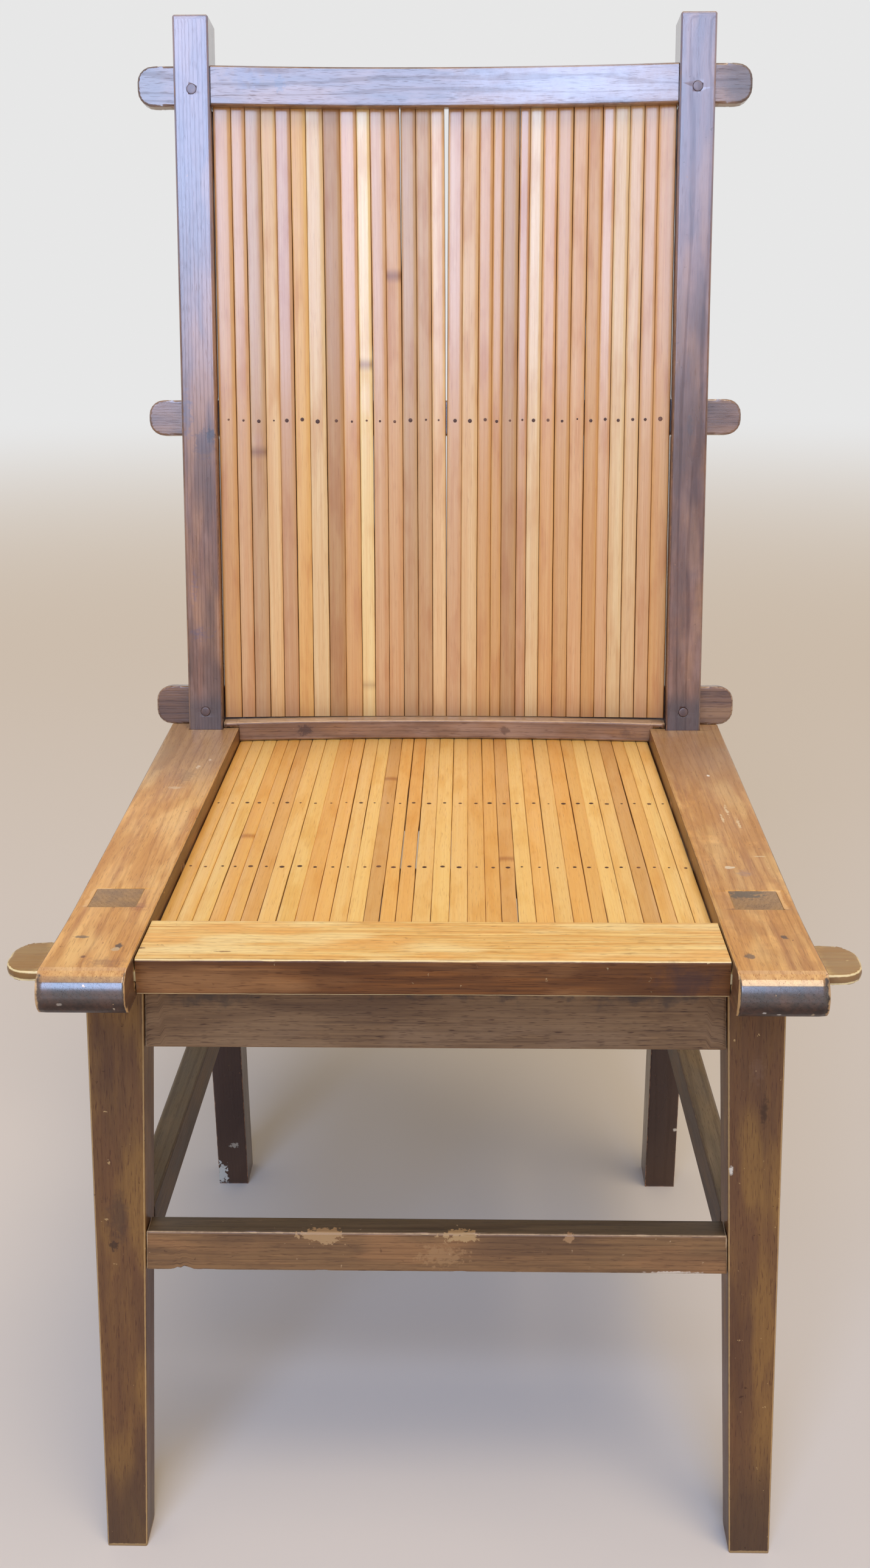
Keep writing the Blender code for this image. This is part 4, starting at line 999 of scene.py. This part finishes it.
# 1 where the eye, a gloss or a clear piece looks, so that only these see the pale backdrop
def lookedAt(tree):
    path = addNode(tree, "LightPath").node.outputs
    seen = addNode(tree, "Math", [path["Is Camera Ray"], path["Is Glossy Ray"]], operation="MAXIMUM")
    return addNode(tree, "Math", [seen, path["Is Transmission Ray"]], operation="MAXIMUM")


bm = bmesh.new()
bmesh.ops.create_circle(bm, cap_ends=True, segments=96, radius=stage["radius"])
floorMesh = bpy.data.meshes.new("floor")
bm.to_mesh(floorMesh)
bm.free()
floor = addObject("floor", floorMesh)
material, tree, shader = newMaterial("plainPaleFloor")
feedShader(tree, shader, {"Base Color": linear(stage["floor"]), "Roughness": 0.9})
# far off, the floor turns into the backdrop with no horizon
far = addNode(tree, "TexCoord", out="Object")
far = addNode(tree, "VectorMath", [far], operation="LENGTH", out="Value")
far = addNode(tree, "MapRange", [far, stage["fadeFrom"], stage["fadeTo"]], **smooth)
far = addNode(tree, "Math", [far, lookedAt(tree)], operation="MULTIPLY")
glow = addNode(tree, "Emission", {"Color": linear("#FFFFFF"), "Strength": stage["backdrop"]})
faded = addNode(tree, "MixShader", [far, shader.outputs["BSDF"], glow])
tree.links.new(faded, tree.nodes["Material Output"].inputs["Surface"])
floorMesh.materials.append(material)

world = bpy.data.worlds.new("softRoom")
world.use_nodes = True
bpy.context.scene.world = world
tree = world.node_tree
seen = lookedAt(tree)
strength = addNode(tree, "MapRange", {"Value": seen, "To Min": stage["sky"], "To Max": stage["backdrop"]})
tint = addNode(tree, "Mix", [seen, linear(stage["skyTint"]), linear("#FFFFFF")], **rgba)
tree.links.new(strength, tree.nodes["Background"].inputs["Strength"])
tree.links.new(tint, tree.nodes["Background"].inputs["Color"])

# A cool window high in front of the chair, and a warm soft light that stands for the room.
lamps = {
    "window": {
        "kind": "AREA", "place": (-0.5, -4.0, 2.95), "size": (2.6, 2.5), "power": 180,
        "colour": "#B2CEFF",
    },
    "ceiling": {
        "kind": "SUN", "place": (0.6, -1.4, 4.0), "degrees": 28, "power": 1.35, "colour": "#FFE6C6",
    },
}
for name, lamp in lamps.items():
    light = bpy.data.lights.new(name, lamp["kind"])
    light.energy = lamp["power"]
    light.color = linear(lamp["colour"])[:3]
    if "size" in lamp:
        light.shape = "RECTANGLE"
        light.size, light.size_y = lamp["size"]
    else:
        light.angle = math.radians(lamp["degrees"])
    holder = addObject(name, light)
    turn = (Vector(lamp["place"]) - Vector((0, 0, 0.6))).to_track_quat("Z", "Y")
    holder.matrix_world = Matrix.Translation(lamp["place"]) @ turn.to_matrix().to_4x4()

# The camera that was fitted to the photograph.
view = {
    "place": (0.0191, -1.0588, 0.8135), "pitch": -18.391, "yaw": -1.215, "roll": -0.234,
    "focalPixels": 2723.9, "tallPixels": 2576, "sensorMm": 36,
}
camera = bpy.data.cameras.new("camera")
camera.sensor_width = view["sensorMm"]
camera.lens = view["sensorMm"] * view["focalPixels"] / view["tallPixels"]
holder = addObject("camera", camera)
pitch, yaw, roll = (math.radians(view[k]) for k in ("pitch", "yaw", "roll"))
ahead = Vector((math.sin(yaw) * math.cos(pitch), math.cos(yaw) * math.cos(pitch), math.sin(pitch)))
right = Vector((math.cos(yaw), -math.sin(yaw), 0))
above = right.cross(ahead)
axes = Matrix((
    right * math.cos(roll) + above * math.sin(roll),
    above * math.cos(roll) - right * math.sin(roll),
    -ahead,
)).transposed()
holder.matrix_world = Matrix.Translation(view["place"]) @ axes.to_4x4()
bpy.context.scene.camera = holder
bpy.context.scene.view_settings.view_transform = "Standard"
print("stage, lights and camera set")
